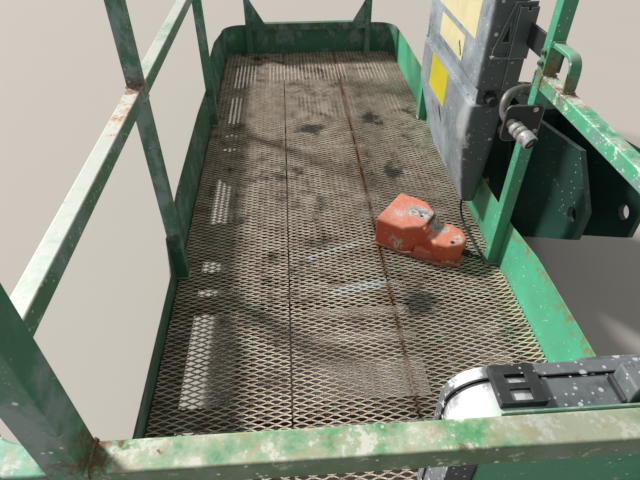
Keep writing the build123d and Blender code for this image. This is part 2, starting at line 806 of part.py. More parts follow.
pedal_half = 60.0
pedal_front = -105.0
pedal_back = -20.0
pedal_rise = 14.0
pedal_sheet = 6.0
pedal_post = 12.0
with BuildPart() as pedal:
    with BuildSketch(switch_floor.offset(base_sheet + pedal_rise)):
        with Locations(((pedal_front + pedal_back) / 2, 0)):
            Rectangle(pedal_back - pedal_front, 2 * pedal_half)
    extrude(amount=pedal_sheet)
    with BuildSketch(switch_floor.offset(base_sheet)):
        with Locations((pedal_back - pedal_post, 0)):
            Rectangle(pedal_post, pedal_half)
    extrude(amount=pedal_rise)
save(pedal.part, "foot_switch_pedal")

gland_radius = 10.0
gland_length = 20.0
gland_height = 30.0
heel_end = switch_floor.origin + switch_dir * heel_plan[-1][0] + Vector(0, 0, gland_height)
with BuildPart() as gland:
    with BuildSketch(Plane(origin=heel_end, z_dir=switch_dir)):
        RegularPolygon(gland_radius, 8)
    extrude(amount=gland_length)
save(gland.part, "foot_switch_gland")

# Cord of the foot switch: round the post's foot, along the floor by the kick plate, then
# up into the console cover
cord_radius = 3.5
cord_lie = floor_top + cord_radius + 0.1
cord_line_x = post_inner_x - 9.0
cord_entry_x = post_inner_x - 23.0
cord_entry_y = console_near + 30.0
exit_point = heel_end + switch_dir * gland_length
cord_points = (
    exit_point,
    exit_point + switch_dir * 14.0,
    exit_point + Vector(24.4, -10.0, -3.0),
    exit_point + Vector(36.6, -4.1, -9.0),
    Vector(cord_line_x, exit_point.Y + 7.3, exit_point.Z - 15.0),
    Vector(cord_line_x, exit_point.Y + 30.0, cord_lie + 4.0),
    Vector(cord_line_x - 1.0, exit_point.Y + 60.0, cord_lie),
    Vector(cord_line_x - 3.0, exit_point.Y + 118.0, cord_lie),
    Vector(cord_line_x - 6.0, cord_entry_y - 66.0, cord_lie + 1.0),
    Vector(cord_entry_x + 4.0, cord_entry_y - 33.0, cord_lie + 12.0),
    Vector(cord_entry_x + 1.0, cord_entry_y - 9.0, cord_lie + 34.0),
    Vector(cord_entry_x, cord_entry_y, cord_lie + 60.0),
    Vector(cord_entry_x, cord_entry_y, cover_bottom),
)


def cord_tube(name, points, radius):
    """A plain tube along straight runs and tangent arcs."""
    radii = corner_radii(points)
    print(name, "radii in diameters", [round(value / (2 * radius), 1) for value in radii])
    with BuildPart() as cord:
        with BuildLine() as path:
            FilletPolyline(*points, radius=radii)
        with BuildSketch(Plane(origin=path.line @ 0, z_dir=path.line % 0)):
            Circle(radius)
        sweep()
    length = path.wire().length
    print(name, "length", round(length, 1), "volume ratio", round(cord.part.volume / (length * pi * radius**2), 4))
    save(cord.part, name)


cord_tube("foot_switch_cord", cord_points, cord_radius)

# Document case on the near mid rail: plate, back shell, and a lid that swings down
case_right = gate_right + tube + 41.0
case_left = case_right - 341.0
case_top = floor_top + 545.0
case_bottom = case_top - 300.0
case_back_y = -end_inner_y
case_seam_y = case_back_y + 50.0
case_front_y = case_seam_y + 18.0
case_wall = 4.0
case_corner = 45.0
seam_gap = 2.0
case_mid_x = (case_left + case_right) / 2
case_mid_z = (case_top + case_bottom) / 2
case_plate_sheet = 5.0
with BuildPart() as case_plate:
    block(
        case_left + 33.0,
        case_right - 15.0,
        case_back_y,
        case_back_y + case_plate_sheet,
        case_bottom + 60.0,
        mid_top,
    )
save(case_plate.part, "case_plate")

# The hinge lies under the seam: the back's knuckles hold the pin, the lid's turn on it
case_pin_radius = 3.0
case_knuckle = 6.0
knuckle_length = 30.0
knuckle_gap = 0.6
knuckle_inset = 60.0
knuckle_reach = 14.0
case_hinge_y = case_seam_y + seam_gap / 2
case_hinge_z = case_bottom - case_knuckle - 0.5
boss_left = case_left + 152.0
boss_right = case_right - 22.0
boss_proud = 14.0
knuckle_columns = (case_left + knuckle_inset, case_right - knuckle_inset)
for shell_name, y0, y1, open_side in (
    ("case_back", case_back_y + case_plate_sheet, case_seam_y, 1),
    ("case_lid", case_seam_y + seam_gap, case_front_y, -1),
):
    depth = y1 - y0
    with BuildPart() as case_shell:
        with BuildSketch(Plane.XZ.offset(-y1)):
            with Locations((case_mid_x, case_mid_z)):
                RectangleRounded(case_right - case_left, case_top - case_bottom, case_corner)
        extrude(amount=depth)
        if open_side == -1:
            with BuildSketch(Plane.XZ.offset(-y1 - boss_proud)):
                with Locations(((boss_left + boss_right) / 2, case_mid_z)):
                    RectangleRounded(boss_right - boss_left, case_top - case_bottom - 2 * boss_proud, boss_proud)
            extrude(amount=boss_proud)
        inner_start = y1 if open_side == 1 else y1 - case_wall
        with BuildSketch(Plane.XZ.offset(-inner_start)):
            with Locations((case_mid_x, case_mid_z)):
                RectangleRounded(
                    case_right - case_left - 2 * case_wall,
                    case_top - case_bottom - 2 * case_wall,
                    case_corner - case_wall,
                )
        extrude(amount=depth - case_wall, mode=Mode.SUBTRACT)
        for column in knuckle_columns:
            knuckle_x = column + open_side * (knuckle_length + knuckle_gap) / 2
            inboard = case_hinge_y - open_side * knuckle_reach
            with Locations(Plane(origin=(knuckle_x, case_hinge_y, case_hinge_z), z_dir=(1, 0, 0))):
                Cylinder(case_knuckle, knuckle_length)
            block(
                knuckle_x - knuckle_length / 2,
                knuckle_x + knuckle_length / 2,
                min(inboard, case_hinge_y),
                max(inboard, case_hinge_y),
                case_hinge_z,
                case_bottom,
            )
            if open_side == 1:
                with Locations(Plane(origin=(column, case_hinge_y, case_hinge_z), z_dir=(1, 0, 0))):
                    Cylinder(case_pin_radius, 2 * knuckle_length)
            else:
                with Locations(Plane(origin=(knuckle_x, case_hinge_y, case_hinge_z), z_dir=(1, 0, 0))):
                    Cylinder(case_pin_radius + pin_clearance, 2 * knuckle_length, mode=Mode.SUBTRACT)
    save(case_shell.part, shell_name)

# Carrying handle on the back shell, and the latch that the lid carries over the seam
handle_left = case_left + 166.0
handle_right = case_left + 286.0
handle_back_y = case_back_y + 10.0
handle_front_y = case_back_y + 43.0
handle_foot = 14.0
handle_rise = 30.0
handle_grip = 14.0
with BuildPart() as handle:
    for foot_left in (handle_left, handle_right - handle_foot):
        block(foot_left, foot_left + handle_foot, handle_back_y, handle_front_y, case_top, case_top + handle_rise)
    block(
        handle_left + handle_foot,
        handle_right - handle_foot,
        handle_back_y + 4.0,
        handle_front_y - 4.0,
        case_top + handle_rise - handle_grip,
        case_top + handle_rise,
    )
save(handle.part, "case_handle")

latch_left = case_left + 40.0
latch_width = 48.0
latch_reach = 33.0
latch_proud = 10.0
latch_clear = 0.5
latch_foot = 10.0
latch_side = 13.0
# start behind the lid, depth
latch_windows = ((2.0, 10.0), (19.0, 13.0))
with BuildPart() as latch:
    latch_right = latch_left + latch_width
    lid_start = case_seam_y + seam_gap
    block(latch_left, latch_right, lid_start, lid_start + latch_foot, case_top, case_top + latch_proud)
    block(latch_left, latch_right, case_seam_y - latch_reach, lid_start, case_top + latch_clear, case_top + latch_proud)
    for start, depth in latch_windows:
        with Locations(((latch_left + latch_right) / 2, lid_start - start - depth / 2, case_top + latch_proud / 2)):
            Box(latch_width - 2 * latch_side, depth, 2 * latch_proud, mode=Mode.SUBTRACT)
save(latch.part, "case_latch")

# Boom side: bracket on the support tubes, rotator housing and the yoke
bracket_half = support_y + support_width / 2 + 10.0
bracket_top = floor_top + 290.0
bracket_low = 6.0
bracket_peak = 110.0
bracket_shoulder = support_height + 40.0
with BuildPart() as bracket:
    with BuildSketch(Plane.YZ.offset(bracket_x)):
        with BuildLine():
            Polyline(
                (-bracket_half, bracket_low),
                (-bracket_half, bracket_shoulder),
                (-bracket_peak, bracket_top),
                (bracket_peak, bracket_top),
                (bracket_half, bracket_shoulder),
                (bracket_half, bracket_low),
                close=True,
            )
        make_face()
    extrude(amount=bracket_plate)
save(bracket.part, "rotator_bracket")

housing_low = 40.0
housing_high = bracket_top
lug_band = 60.0
web_half = 50.0
spigot_radius = 30.0
spigot_proud = 3.0
yoke_gap = 5.0
cap_thick = 20.0
with BuildPart() as housing:
    with Locations((rotator_x, 0, (housing_low + housing_high) / 2)):
        Cylinder(rotator_radius, housing_high - housing_low)
    block(bracket_x + bracket_plate, rotator_x, -web_half, web_half, housing_low + lug_band, housing_high - lug_band)
    with Locations((rotator_x, 0, (housing_low + housing_high) / 2)):
        Cylinder(spigot_radius, housing_high - housing_low + 2 * (yoke_gap + cap_thick + spigot_proud))
save(housing.part, "rotator_housing")

# Yoke: two caps over the housing, joined by side plates that carry the boom's pins
cap_radius = rotator_radius
yoke_plate = 14.0
yoke_inner = 62.0
yoke_pin_y = -545.0
yoke_pin_z = floor_top + 225.0
yoke_bore = 20.0
with BuildPart() as yoke:
    for level in (housing_high + yoke_gap, housing_low - yoke_gap - cap_thick):
        with Locations((rotator_x, 0, level + cap_thick / 2)):
            Cylinder(cap_radius, cap_thick)
        block(
            rotator_x - yoke_inner,
            rotator_x + yoke_inner,
            -rotator_radius - 60.0,
            0,
            level,
            level + cap_thick,
        )
        with Locations((rotator_x, 0, level + cap_thick / 2)):
            Cylinder(spigot_radius + pin_clearance, cap_thick, mode=Mode.SUBTRACT)
    back_y = -rotator_radius - 20.0
    block(
        rotator_x - yoke_inner,
        rotator_x + yoke_inner,
        back_y - 20.0,
        back_y,
        housing_low - yoke_gap,
        housing_high + yoke_gap,
    )
    for side in (-1, 1):
        face = rotator_x + side * yoke_inner
        with BuildSketch(Plane.YZ.offset(min(face, face + side * yoke_plate))):
            with BuildLine():
                Polyline(
                    (back_y, housing_low - yoke_gap - cap_thick),
                    (back_y, housing_high + yoke_gap + cap_thick),
                    (yoke_pin_y + 60.0, yoke_pin_z + 150.0),
                    (yoke_pin_y - 50.0, yoke_pin_z + 40.0),
                    (yoke_pin_y - 50.0, yoke_pin_z - 45.0),
                    (back_y - 120.0, housing_low - yoke_gap - cap_thick),
                    close=True,
                )
            make_face()
            with Locations((yoke_pin_y, yoke_pin_z)):
                Circle(yoke_bore, mode=Mode.SUBTRACT)
        extrude(amount=yoke_plate)
save(yoke.part, "boom_yoke")
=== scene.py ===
"""Dresses a boom lift's work platform: paint, expanded metal, labels, cord, lamps and camera.

Everything is in metres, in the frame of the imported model: the origin is on the ground under
the middle of the floor, +Y runs from the near end to the far entry, and +X is the boom side.
"""

import logging
import math
import random
from collections.abc import Iterable, Mapping, Sequence
from dataclasses import dataclass
from enum import Enum
from functools import reduce
from operator import or_
from typing import Any

import bpy
import numpy as np
from mathutils import Matrix, Vector


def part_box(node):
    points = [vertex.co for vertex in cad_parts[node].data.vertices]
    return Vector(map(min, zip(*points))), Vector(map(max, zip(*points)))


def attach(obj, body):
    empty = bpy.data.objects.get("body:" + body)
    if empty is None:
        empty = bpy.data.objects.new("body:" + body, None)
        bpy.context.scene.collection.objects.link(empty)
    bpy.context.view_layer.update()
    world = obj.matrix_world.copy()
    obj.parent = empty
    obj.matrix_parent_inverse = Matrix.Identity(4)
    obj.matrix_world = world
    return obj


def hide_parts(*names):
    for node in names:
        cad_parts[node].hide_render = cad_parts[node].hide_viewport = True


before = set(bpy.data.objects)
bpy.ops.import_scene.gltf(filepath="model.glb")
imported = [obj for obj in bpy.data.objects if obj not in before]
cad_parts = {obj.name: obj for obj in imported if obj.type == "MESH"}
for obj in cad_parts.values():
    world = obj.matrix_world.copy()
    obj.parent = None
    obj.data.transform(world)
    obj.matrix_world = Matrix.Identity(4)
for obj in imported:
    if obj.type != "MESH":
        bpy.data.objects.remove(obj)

log = logging.getLogger("work_platform")

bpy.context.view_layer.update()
CAD_FLOOR = (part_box("floor_mesh_left")[0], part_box("floor_mesh_right")[1])
PLATFORM = "platform"
GATE = "gate"
YOKE = "yoke"
LID = "case_lid"

Colour = tuple[float, float, float]
Point = tuple[float, float, float]
# a line's start, its end and its half width
Stroke = tuple[Point, Point, float]
# pairs: the way along a turned part and its radius, or the two coordinates of an outline
Profile = Sequence[tuple[float, float]]

WELD_GAP = 1e-5
SHARP_ANGLE = math.radians(35)

UP: Point = (0.0, 0.0, 1.0)
LEFTWARD: Point = (-1.0, 0.0, 0.0)
NEARWARD: Point = (0.0, -1.0, 0.0)

# The way to the studio sun: the paints lighten the sides that face it and darken the others, as painted
# light and shade.
SUNNY_SIDE: Point = (-0.646, 0.517, 0.562)

# Layers that show where paint has flaked off a rail, from the deepest to the newest.
FLAKES = (
    (0.34, (0.26, 0.10, 0.04)),
    (0.41, (0.62, 0.33, 0.17)),
    (0.46, (0.84, 0.66, 0.48)),
    (0.53, (0.88, 0.88, 0.80)),
    (0.64, (0.62, 0.80, 0.74)),
)


def rgba(colour: Colour) -> tuple[float, float, float, float]:
    """A colour with full opacity, as colour sockets want it."""
    return (*colour, 1.0)


class Wire:
    """One value, colour or vector on its way through a material's nodes."""

    def __init__(self, graph: "Graph", socket: bpy.types.NodeSocket) -> None:
        """Keeps the output socket and the graph that it belongs to."""
        self.graph = graph
        self.socket = socket

    def _math(self, operation: str, first: "Wire | float", second: "Wire | float" = 0.0) -> "Wire":
        """One Math node.

        Args:
            operation: the Math node's operation.
            first: its first value.
            second: its second value.

        Returns:
            The node's result.
        """
        return self.graph.node("ShaderNodeMath", {"operation": operation}, {0: first, 1: second})

    def __add__(self, other: "Wire | float") -> "Wire":
        """Sum."""
        return self._math("ADD", self, other)

    def __sub__(self, other: "Wire | float") -> "Wire":
        """Difference."""
        return self._math("SUBTRACT", self, other)

    def __rsub__(self, other: float) -> "Wire":
        """Difference from a number on the left."""
        return self._math("SUBTRACT", other, self)

    def __mul__(self, other: "Wire | float") -> "Wire":
        """Product."""
        return self._math("MULTIPLY", self, other)

    def __or__(self, other: "Wire | float") -> "Wire":
        """The larger of two masks."""
        return self._math("MAXIMUM", self, other)

    def __abs__(self) -> "Wire":
        """Distance from zero."""
        return self._math("ABSOLUTE", self)

    __radd__ = __add__
    __rmul__ = __mul__
    __ror__ = __or__

    def rise(self, low: float, high: float) -> "Wire":
        """A smooth step.

        Args:
            low: where it starts.
            high: where it ends, above or below low.

        Returns:
            A mask that is 0 on low's side and 1 on high's.
        """
        return self.graph.node(
            "ShaderNodeMapRange",
            {"interpolation_type": "SMOOTHSTEP"},
            {"Value": self, "From Min": low, "From Max": high},
        )


class Graph:
    """The nodes of one material."""

    def __init__(self, name: str) -> None:
        """Makes an empty material.

        Args:
            name: its name.
        """
        self.material = bpy.data.materials.new(name)
        self.material.use_nodes = True
        self.tree = self.material.node_tree
        self.tree.nodes.clear()

    def node(
        self,
        kind: str,
        settings: Mapping[str, Any] | None = None,
        inputs: Mapping[str | int, Any] | None = None,
        output: str | int = 0,
    ) -> Wire:
        """Adds one node: its settings first, then its sockets.

        Args:
            kind: the node's type.
            settings: attributes of the node, or "stops" for a ramp's places and colours.
            inputs: values or wires by socket name or number.
            output: which output is wanted.

        Returns:
            That output as a wire.
        """
        made = self.tree.nodes.new(kind)
        for key, value in (settings or {}).items():
            if key == "stops":
                self._set_stops(made.color_ramp, value)
            else:
                setattr(made, key, value)
        for key, value in (inputs or {}).items():
            if isinstance(value, Wire):
                self.tree.links.new(value.socket, made.inputs[key])
            else:
                made.inputs[key].default_value = value
        return Wire(self, made.outputs[output] if made.outputs else None)

    @staticmethod
    def _set_stops(ramp: bpy.types.ColorRamp, stops: Sequence[tuple[float, Colour]]) -> None:
        """Fills a ramp.

        Args:
            ramp: the ramp.
            stops: its places and their colours.
        """
        while len(ramp.elements) < len(stops):
            ramp.elements.new(1.0)
        for element, (place, colour) in zip(ramp.elements, stops):
            element.position = place
            element.color = rgba(colour)

    def place(self) -> Wire:
        """The point on the piece, in the frame of the whole platform at rest."""
        return self.node("ShaderNodeTexCoord", output="Object")

    def axis(self, vector: Wire, name: str) -> Wire:
        """One coordinate of a vector, by its letter."""
        return self.node("ShaderNodeSeparateXYZ", {}, {0: vector}, name)

    def facing(self) -> Wire:
        """The way that the surface faces, in the frame of the platform at rest."""
        return self.node("ShaderNodeTexCoord", output="Normal")

    def upward(self) -> Wire:
        """How far the surface faces up: 1 on a level top, 0 on an upright side."""
        return self.axis(self.facing(), "Z")

    def vector(
        self, operation: str, first: Wire | Point, second: Wire | Point, output: str = "Vector"
    ) -> Wire:
        """One Vector Math node of two vectors, and the output that is wanted."""
        inputs = {0: first, 1: second}
        return self.node("ShaderNodeVectorMath", {"operation": operation}, inputs, output)

    def along(self, vector: Wire, direction: Point) -> Wire:
        """How far a vector goes in a direction."""
        return self.vector("DOT_PRODUCT", vector, direction, "Value")

    def sunlit(self) -> Wire:
        """A mask, 1 on the sides that face the lamp's sun: it paints their light and shade."""
        return self.along(self.facing(), SUNNY_SIDE).rise(0.05, 0.5)

    def scaled(self, vector: Wire, factors: Point) -> Wire:
        """A vector multiplied axis by axis."""
        return self.vector("MULTIPLY", vector, factors)

    def moved(self, vector: Wire, shift: Point) -> Wire:
        """A vector with a constant added, so that two noises differ."""
        return self.vector("ADD", vector, shift)

    def noise(self, at: Wire, scale: float, detail: float = 3.0, rough: float = 0.55) -> Wire:
        """Cloudy noise between 0 and 1, about 0.5 in the mean."""
        inputs = {"Vector": at, "Scale": scale, "Detail": detail, "Roughness": rough}
        return self.node("ShaderNodeTexNoise", {}, inputs)

    def flecks(self, at: Wire, scale: float, size: float, share: float) -> Wire:
        """Small round flecks.

        Args:
            at: the point on the surface.
            scale: cells in a metre.
            size: a fleck's radius as a share of its cell.
            share: the share of cells that hold a fleck.

        Returns:
            A mask that is 1 in a fleck.
        """
        cell = {"Vector": at, "Scale": scale}
        near = self.node("ShaderNodeTexVoronoi", {}, cell, "Distance").rise(size, 0.6 * size)
        pick = self.axis(self.node("ShaderNodeTexVoronoi", {}, cell, "Color"), "X")
        return near * pick.rise(share, share - 0.02)

    @staticmethod
    def _torn(parts: Iterable[tuple[Wire, float]], tear: Wire) -> Wire:
        """Patches with a torn rim in one mask, from the distance to each and its half width."""
        return reduce(or_, [(far + tear).rise(half, half * 0.45) for far, half in parts])

    def spot(self, at: Wire, centres: Sequence[Point], reach: float, tear: Wire) -> Wire:
        """Round patches with a torn rim.

        Args:
            at: the point on the surface.
            centres: their middles.
            reach: their radius.
            tear: a noise about zero, in metres, that tears the rim.

        Returns:
            A mask that is 1 in the middle of a patch.
        """
        far = [self.vector("DISTANCE", at, centre, "Value") for centre in centres]
        return self._torn([(one, reach) for one in far], tear)

    def strokes(self, at: Wire, lines: Sequence[Stroke], tear: Wire) -> Wire:
        """Brushed or dripped lines with a torn rim.

        Args:
            at: the point on the surface.
            lines: the start, the end and the half width of each.
            tear: a noise about zero, in metres, that tears the rim.

        Returns:
            A mask that is 1 along the middle of a line.
        """
        parts: list[tuple[Wire, float]] = []
        for start, end, half in lines:
            line = Vector(end) - Vector(start)
            aim = tuple(line.normalized())
            offset = self.moved(at, tuple(-Vector(start)))
            run = self.along(offset, aim)
            run = self.node("ShaderNodeClamp", {}, {"Value": run, "Min": 0.0, "Max": line.length})
            nearest = self.node("ShaderNodeVectorMath", {"operation": "SCALE"}, {0: aim, "Scale": run})
            parts.append((self.vector("DISTANCE", offset, nearest, "Value"), half))
        return self._torn(parts, tear)

    def scratches(self, at: Wire, slant: float) -> Wire:
        """Fine straight scratches.

        Args:
            at: the point on the surface.
            slant: how far they lean out of the level, in radians.

        Returns:
            A mask that is 1 in a scratch.
        """
        inputs = {"Vector": at, "Angle": slant}
        turned = self.node("ShaderNodeVectorRotate", {"rotation_type": "X_AXIS"}, inputs)
        drawn = self.noise(self.scaled(turned, (1.0, 0.05, 1.0)), 330.0, 2.0, 0.5)
        return drawn.rise(0.70, 0.73)

    def edges(self, radius: float) -> Wire:
        """The piece's own edges.

        Args:
            radius: how wide they are.

        Returns:
            A mask that is 1 along them.
        """
        soft = self.node("ShaderNodeBevel", {"samples": 4}, {"Radius": radius})
        true = self.node("ShaderNodeNewGeometry", output="Normal")
        return self.vector("DOT_PRODUCT", soft, true, "Value").rise(0.995, 0.86)

    def mix(self, mask: Wire | float, first: Wire | Colour, second: Wire | Colour) -> Wire:
        """One colour where the mask is 0 and another where it is 1."""
        first, second = (c if isinstance(c, Wire) else rgba(c) for c in (first, second))
        return self.node("ShaderNodeMix", {"data_type": "RGBA"}, {0: mask, 6: first, 7: second}, 2)

    def ramp(self, value: Wire, stops: Sequence[tuple[float, Colour]]) -> Wire:
        """A colour looked up along a ramp."""
        return self.node("ShaderNodeValToRGB", {"stops": stops}, {0: value}, "Color")

    def bump(self, height: Wire, depth: float, strength: float = 1.0) -> Wire:
        """A normal from a height between 0 and 1, depth metres high."""
        inputs = {"Height": height, "Distance": depth, "Strength": strength}
        return self.node("ShaderNodeBump", {}, inputs)

    def surface(self, **sockets: Any) -> bpy.types.Material:
        """Ends the graph in one Principled shader.

        Args:
            sockets: its values or wires, with underscores for the spaces in their names.

        Returns:
            The finished material.
        """
        inputs = {key.replace("_", " "): value for key, value in sockets.items()}
        shader = self.node("ShaderNodeBsdfPrincipled", {}, inputs, "BSDF")
        self.node("ShaderNodeOutputMaterial", {}, {"Surface": shader})
        return self.material


class Wear(Enum):
    """How far a painted piece has worn: its chips, its bleaching and its rust."""

    LIGHT = (0.63, 0.35, 0.70)
    MEDIUM = (0.60, 0.60, 0.67)
    HEAVY = (0.565, 1.00, 0.64)

    def __init__(self, chip_level: float, bleach: float, rust_level: float) -> None:
        """Names the three numbers.

        Args:
            chip_level: the noise level that starts a chip.
            bleach: how far the sun has bleached the top.
            rust_level: the noise level that starts rust.
        """
        self.chip_level = chip_level
        self.bleach = bleach
        self.rust_level = rust_level


@dataclass(frozen=True)
class GreenEnamel:
    """Green enamel in the sun: mottled, bleached on top, chipped, rusty at its welds, flecked."""

    name: str
    wear: Wear = Wear.MEDIUM
    dirt: float = 0.25
    shade_share: float = 0.6
    haze: float = 0.1
    green: Colour = (0.085, 0.50, 0.27)
    deep: Colour = (0.045, 0.33, 0.175)
    shade_colour: Colour = (0.050, 0.20, 0.115)
    bleached: Colour = (0.50, 0.68, 0.52)
    chalk: Colour = (0.80, 0.81, 0.72)
    rust: Colour = (0.24, 0.085, 0.030)
    soil: Colour = (0.17, 0.145, 0.085)
    flecks: float = 0.13
    welds: tuple[Point, ...] = ()
    scratched: float = 0.45
    sky_reflection: Colour = (0.27, 0.34, 0.36)
    reflection_share: float = 0.0
    rim: tuple[float, float] | None = None
    faded: tuple[Stroke, ...] = ()
    flaked: tuple[Stroke, ...] = ()
    yellowed: Colour = (0.55, 0.47, 0.28)
    grimy_up_to: float = 0.34

    def build(self) -> bpy.types.Material:
        """Layers the enamel.

        Returns:
            The material.
        """
        g = Graph(self.name)
        at = g.place()
        broad = g.noise(at, 6.0)
        patchy = g.noise(g.moved(at, (3.1, 1.7, 0.4)), 38.0, 6.0, 0.68)
        fine = g.noise(at, 190.0, 4.0, 0.6)
        top = g.upward().rise(0.35, 0.95)
        sunlit = g.sunlit()
        edge = g.edges(0.004)
        paint = g.mix(broad.rise(0.25, 0.75), self.green, self.deep)
        # Painted shade: the sides turned from the sun take the darker shade colour.
        paint = g.mix((1 - sunlit) * self.shade_share, paint, self.shade_colour)
        clouds = (patchy * 0.45 + broad * 0.55).rise(0.36, 0.56)
        paint = g.mix((top * 0.95 + self.haze) * clouds * self.wear.bleach, paint, self.bleached)
        # Painted reflection of the sky: grey-blue patches on the sides, fading on the tops.
        if self.reflection_share:
            reflection_patches = g.noise(g.moved(g.scaled(at, (1.0, 0.6, 0.6)), (2.0, 9.0, 4.0)), 16.0, 6.0, 0.62)
            paint = g.mix(reflection_patches.rise(0.47, 0.60) * (1 - top * 0.8) * self.reflection_share, paint, self.sky_reflection)
        chip_field = patchy * 0.7 + fine * 0.3 + edge * 0.06 + top * 0.03
        chips = chip_field.rise(self.wear.chip_level, self.wear.chip_level + 0.05)
        # Chalky chips, denser on the sunlit sides, which also paints those sides lighter.
        paint = g.mix(chips * (0.35 + sunlit * 0.5), paint, self.chalk)
        stain = (broad * 0.5 + patchy * 0.5).rise(0.44, 0.30) * (0.3 + self.dirt)
        paint = g.mix(stain, paint, self.soil)
        yellow = g.noise(g.moved(at, (5.0, 8.0, 1.0)), 55.0, 5.0, 0.6).rise(0.52, 0.64)
        paint = g.mix(yellow * top * self.wear.bleach * 0.55, paint, self.yellowed)
        paint = g.mix(g.scratches(at, 0.7) * self.scratched, paint, self.chalk)
        rusty = g.noise(g.moved(at, (7.0, 2.0, 5.0)), 45.0, 6.0, 0.7) + edge * 0.08
        rusty = rusty.rise(self.wear.rust_level, self.wear.rust_level + 0.08)
        if self.welds:
            rusty = rusty | g.spot(at, self.welds, 0.045, (patchy - 0.5) * 0.12) * fine.rise(0.35, 0.55)
        if self.faded:
            faded = g.strokes(at, self.faded, (patchy - 0.5) * 0.16) * top * (0.45 + clouds * 0.45)
            paint = g.mix(faded, paint, self.chalk)
        if self.flaked:
            layers = g.ramp(patchy * 0.6 + fine * 0.4, FLAKES)
            flaked = g.strokes(at, self.flaked, (patchy - 0.5) * 0.20) * top * fine.rise(0.30, 0.42)
            paint = g.mix(flaked, paint, layers)
        if self.rim:
            level, half = self.rim
            near = abs(g.axis(at, "Z") - level).rise(half, half * 0.3)
            rusty = rusty | near * (patchy + edge * 0.1).rise(0.42, 0.66)
        paint = g.mix(rusty * 0.85, paint, self.rust)
        flecks = g.flecks(at, 120.0, 0.24, self.flecks) | g.flecks(at, 55.0, 0.16, self.flecks)
        paint = g.mix(flecks * 0.85, paint, self.chalk)
        grime = 1 - g.axis(at, "Z").rise(0.08, self.grimy_up_to)
        paint = g.mix(grime * self.dirt * broad.rise(0.3, 0.7), paint, self.soil)
        rough = 0.40 + fine * 0.2 + rusty * 0.25 + chips * 0.1
        height = fine * 0.15 + (1 - chips) * 0.3 + rusty * 0.3 + flecks * 0.3
        return g.surface(Base_Color=paint, Roughness=rough, Normal=g.bump(height, 0.0003))


@dataclass(frozen=True)
class ShadedSoiledFrame:
    """The floor frame under the mesh: green paint nearly lost under rust and mud, kept very dark to
    paint the shade under the floor too.
    """

    name: str = "shaded_soiled_frame"
    green: Colour = (0.03, 0.15, 0.085)
    rust: Colour = (0.085, 0.042, 0.024)
    mud: Colour = (0.13, 0.10, 0.075)

    def build(self) -> bpy.types.Material:
        """Layers rust and mud on the paint.

        Returns:
            The material.
        """
        g = Graph(self.name)
        at = g.place()
        cloud = g.noise(at, 14.0, 6.0, 0.65)
        grain = g.noise(at, 220.0, 3.0)
        colour = g.mix(cloud.rise(0.42, 0.60), self.green, self.rust)
        mud = g.noise(g.moved(at, (1.0, 4.0, 2.0)), 9.0, 5.0).rise(0.36, 0.60)
        colour = g.mix(mud * g.upward().rise(0.3, 0.9), colour, self.mud)
        height = cloud * 0.5 + grain * 0.5
        return g.surface(Base_Color=colour, Roughness=0.7 + grain * 0.25, Normal=g.bump(height, 0.0008))


@dataclass(frozen=True)
class TroddenMesh:
    """Expanded metal: pale where it is trodden and dusty, which also paints its sunlit tops; rusty and
    greasy elsewhere.
    """

    name: str
    seam_x: float
    rust: Colour = (0.20, 0.095, 0.048)
    dark: Colour = (0.050, 0.034, 0.024)
    dust: Colour = (0.55, 0.39, 0.27)
    worn_glint: Colour = (0.92, 0.81, 0.66)
    splash: Colour = (0.84, 0.83, 0.79)
    grease: Colour = (0.030, 0.034, 0.036)
    seam_rust: Colour = (0.36, 0.15, 0.06)
    bare_strip: Colour = (0.66, 0.58, 0.38)
    strip_x: tuple[float, float] = (0.418, 0.440)
    strip_y: tuple[float, float] = (-0.49, -0.54)
    splashes: tuple[Stroke, ...] = (
        ((-0.022, -0.568, 0.13), (0.124, -0.531, 0.13), 0.022),
        ((-0.089, -0.420, 0.13), (0.135, -0.333, 0.13), 0.011),
    )
    greasy: tuple[Point, ...] = (
        (-0.044, 0.377, 0.13),
        (0.255, 0.029, 0.13),
        (0.20, -0.62, 0.13),
        (0.233, 0.468, 0.13),
    )

    def build(self) -> bpy.types.Material:
        """Layers dust, wear, grease and splashes on the metal.

        Returns:
            The material.
        """
        g = Graph(self.name)
        at = g.place()
        broad = g.noise(at, 4.0, 4.0)
        patch = g.noise(at, 16.0, 5.0, 0.65)
        grain = g.noise(at, 400.0, 3.0)
        # Level tops take dust, wear and glints, pale against the dark sides: partly real wear, partly
        # painted sunlit tops and shaded sides.
        level = g.upward().rise(0.15, 0.8)
        colour = g.mix(patch.rise(0.40, 0.62), self.dark, self.rust)
        colour = g.mix(level * (broad * 0.6 + patch * 0.4).rise(0.30, 0.50), colour, self.dust)
        worn = level * (patch * 0.5 + grain * 0.5).rise(0.43, 0.58)
        colour = g.mix(worn * 0.85, colour, self.worn_glint)
        strip = g.axis(at, "X").rise(*self.strip_x) * g.axis(at, "Y").rise(*self.strip_y)
        colour = g.mix(strip * patch.rise(0.34, 0.56) * 0.75, colour, self.bare_strip)
        tear = (patch - 0.5) * 0.05
        grease = g.spot(at, self.greasy, 0.065, tear * 3.0)
        colour = g.mix(grease * 0.8, colour, self.grease)
        seam = abs(g.axis(at, "X") - self.seam_x).rise(0.012, 0.004)
        colour = g.mix(seam * 0.8, colour, self.seam_rust)
        splashes = g.strokes(at, self.splashes, tear)
        colour = g.mix(splashes * 0.9, colour, self.splash)
        return g.surface(
            Base_Color=colour,
            Roughness=0.62 + patch * 0.25 - grease * 0.3,
            Metallic=worn * 0.2,
            Normal=g.bump(grain, 0.0003),
        )


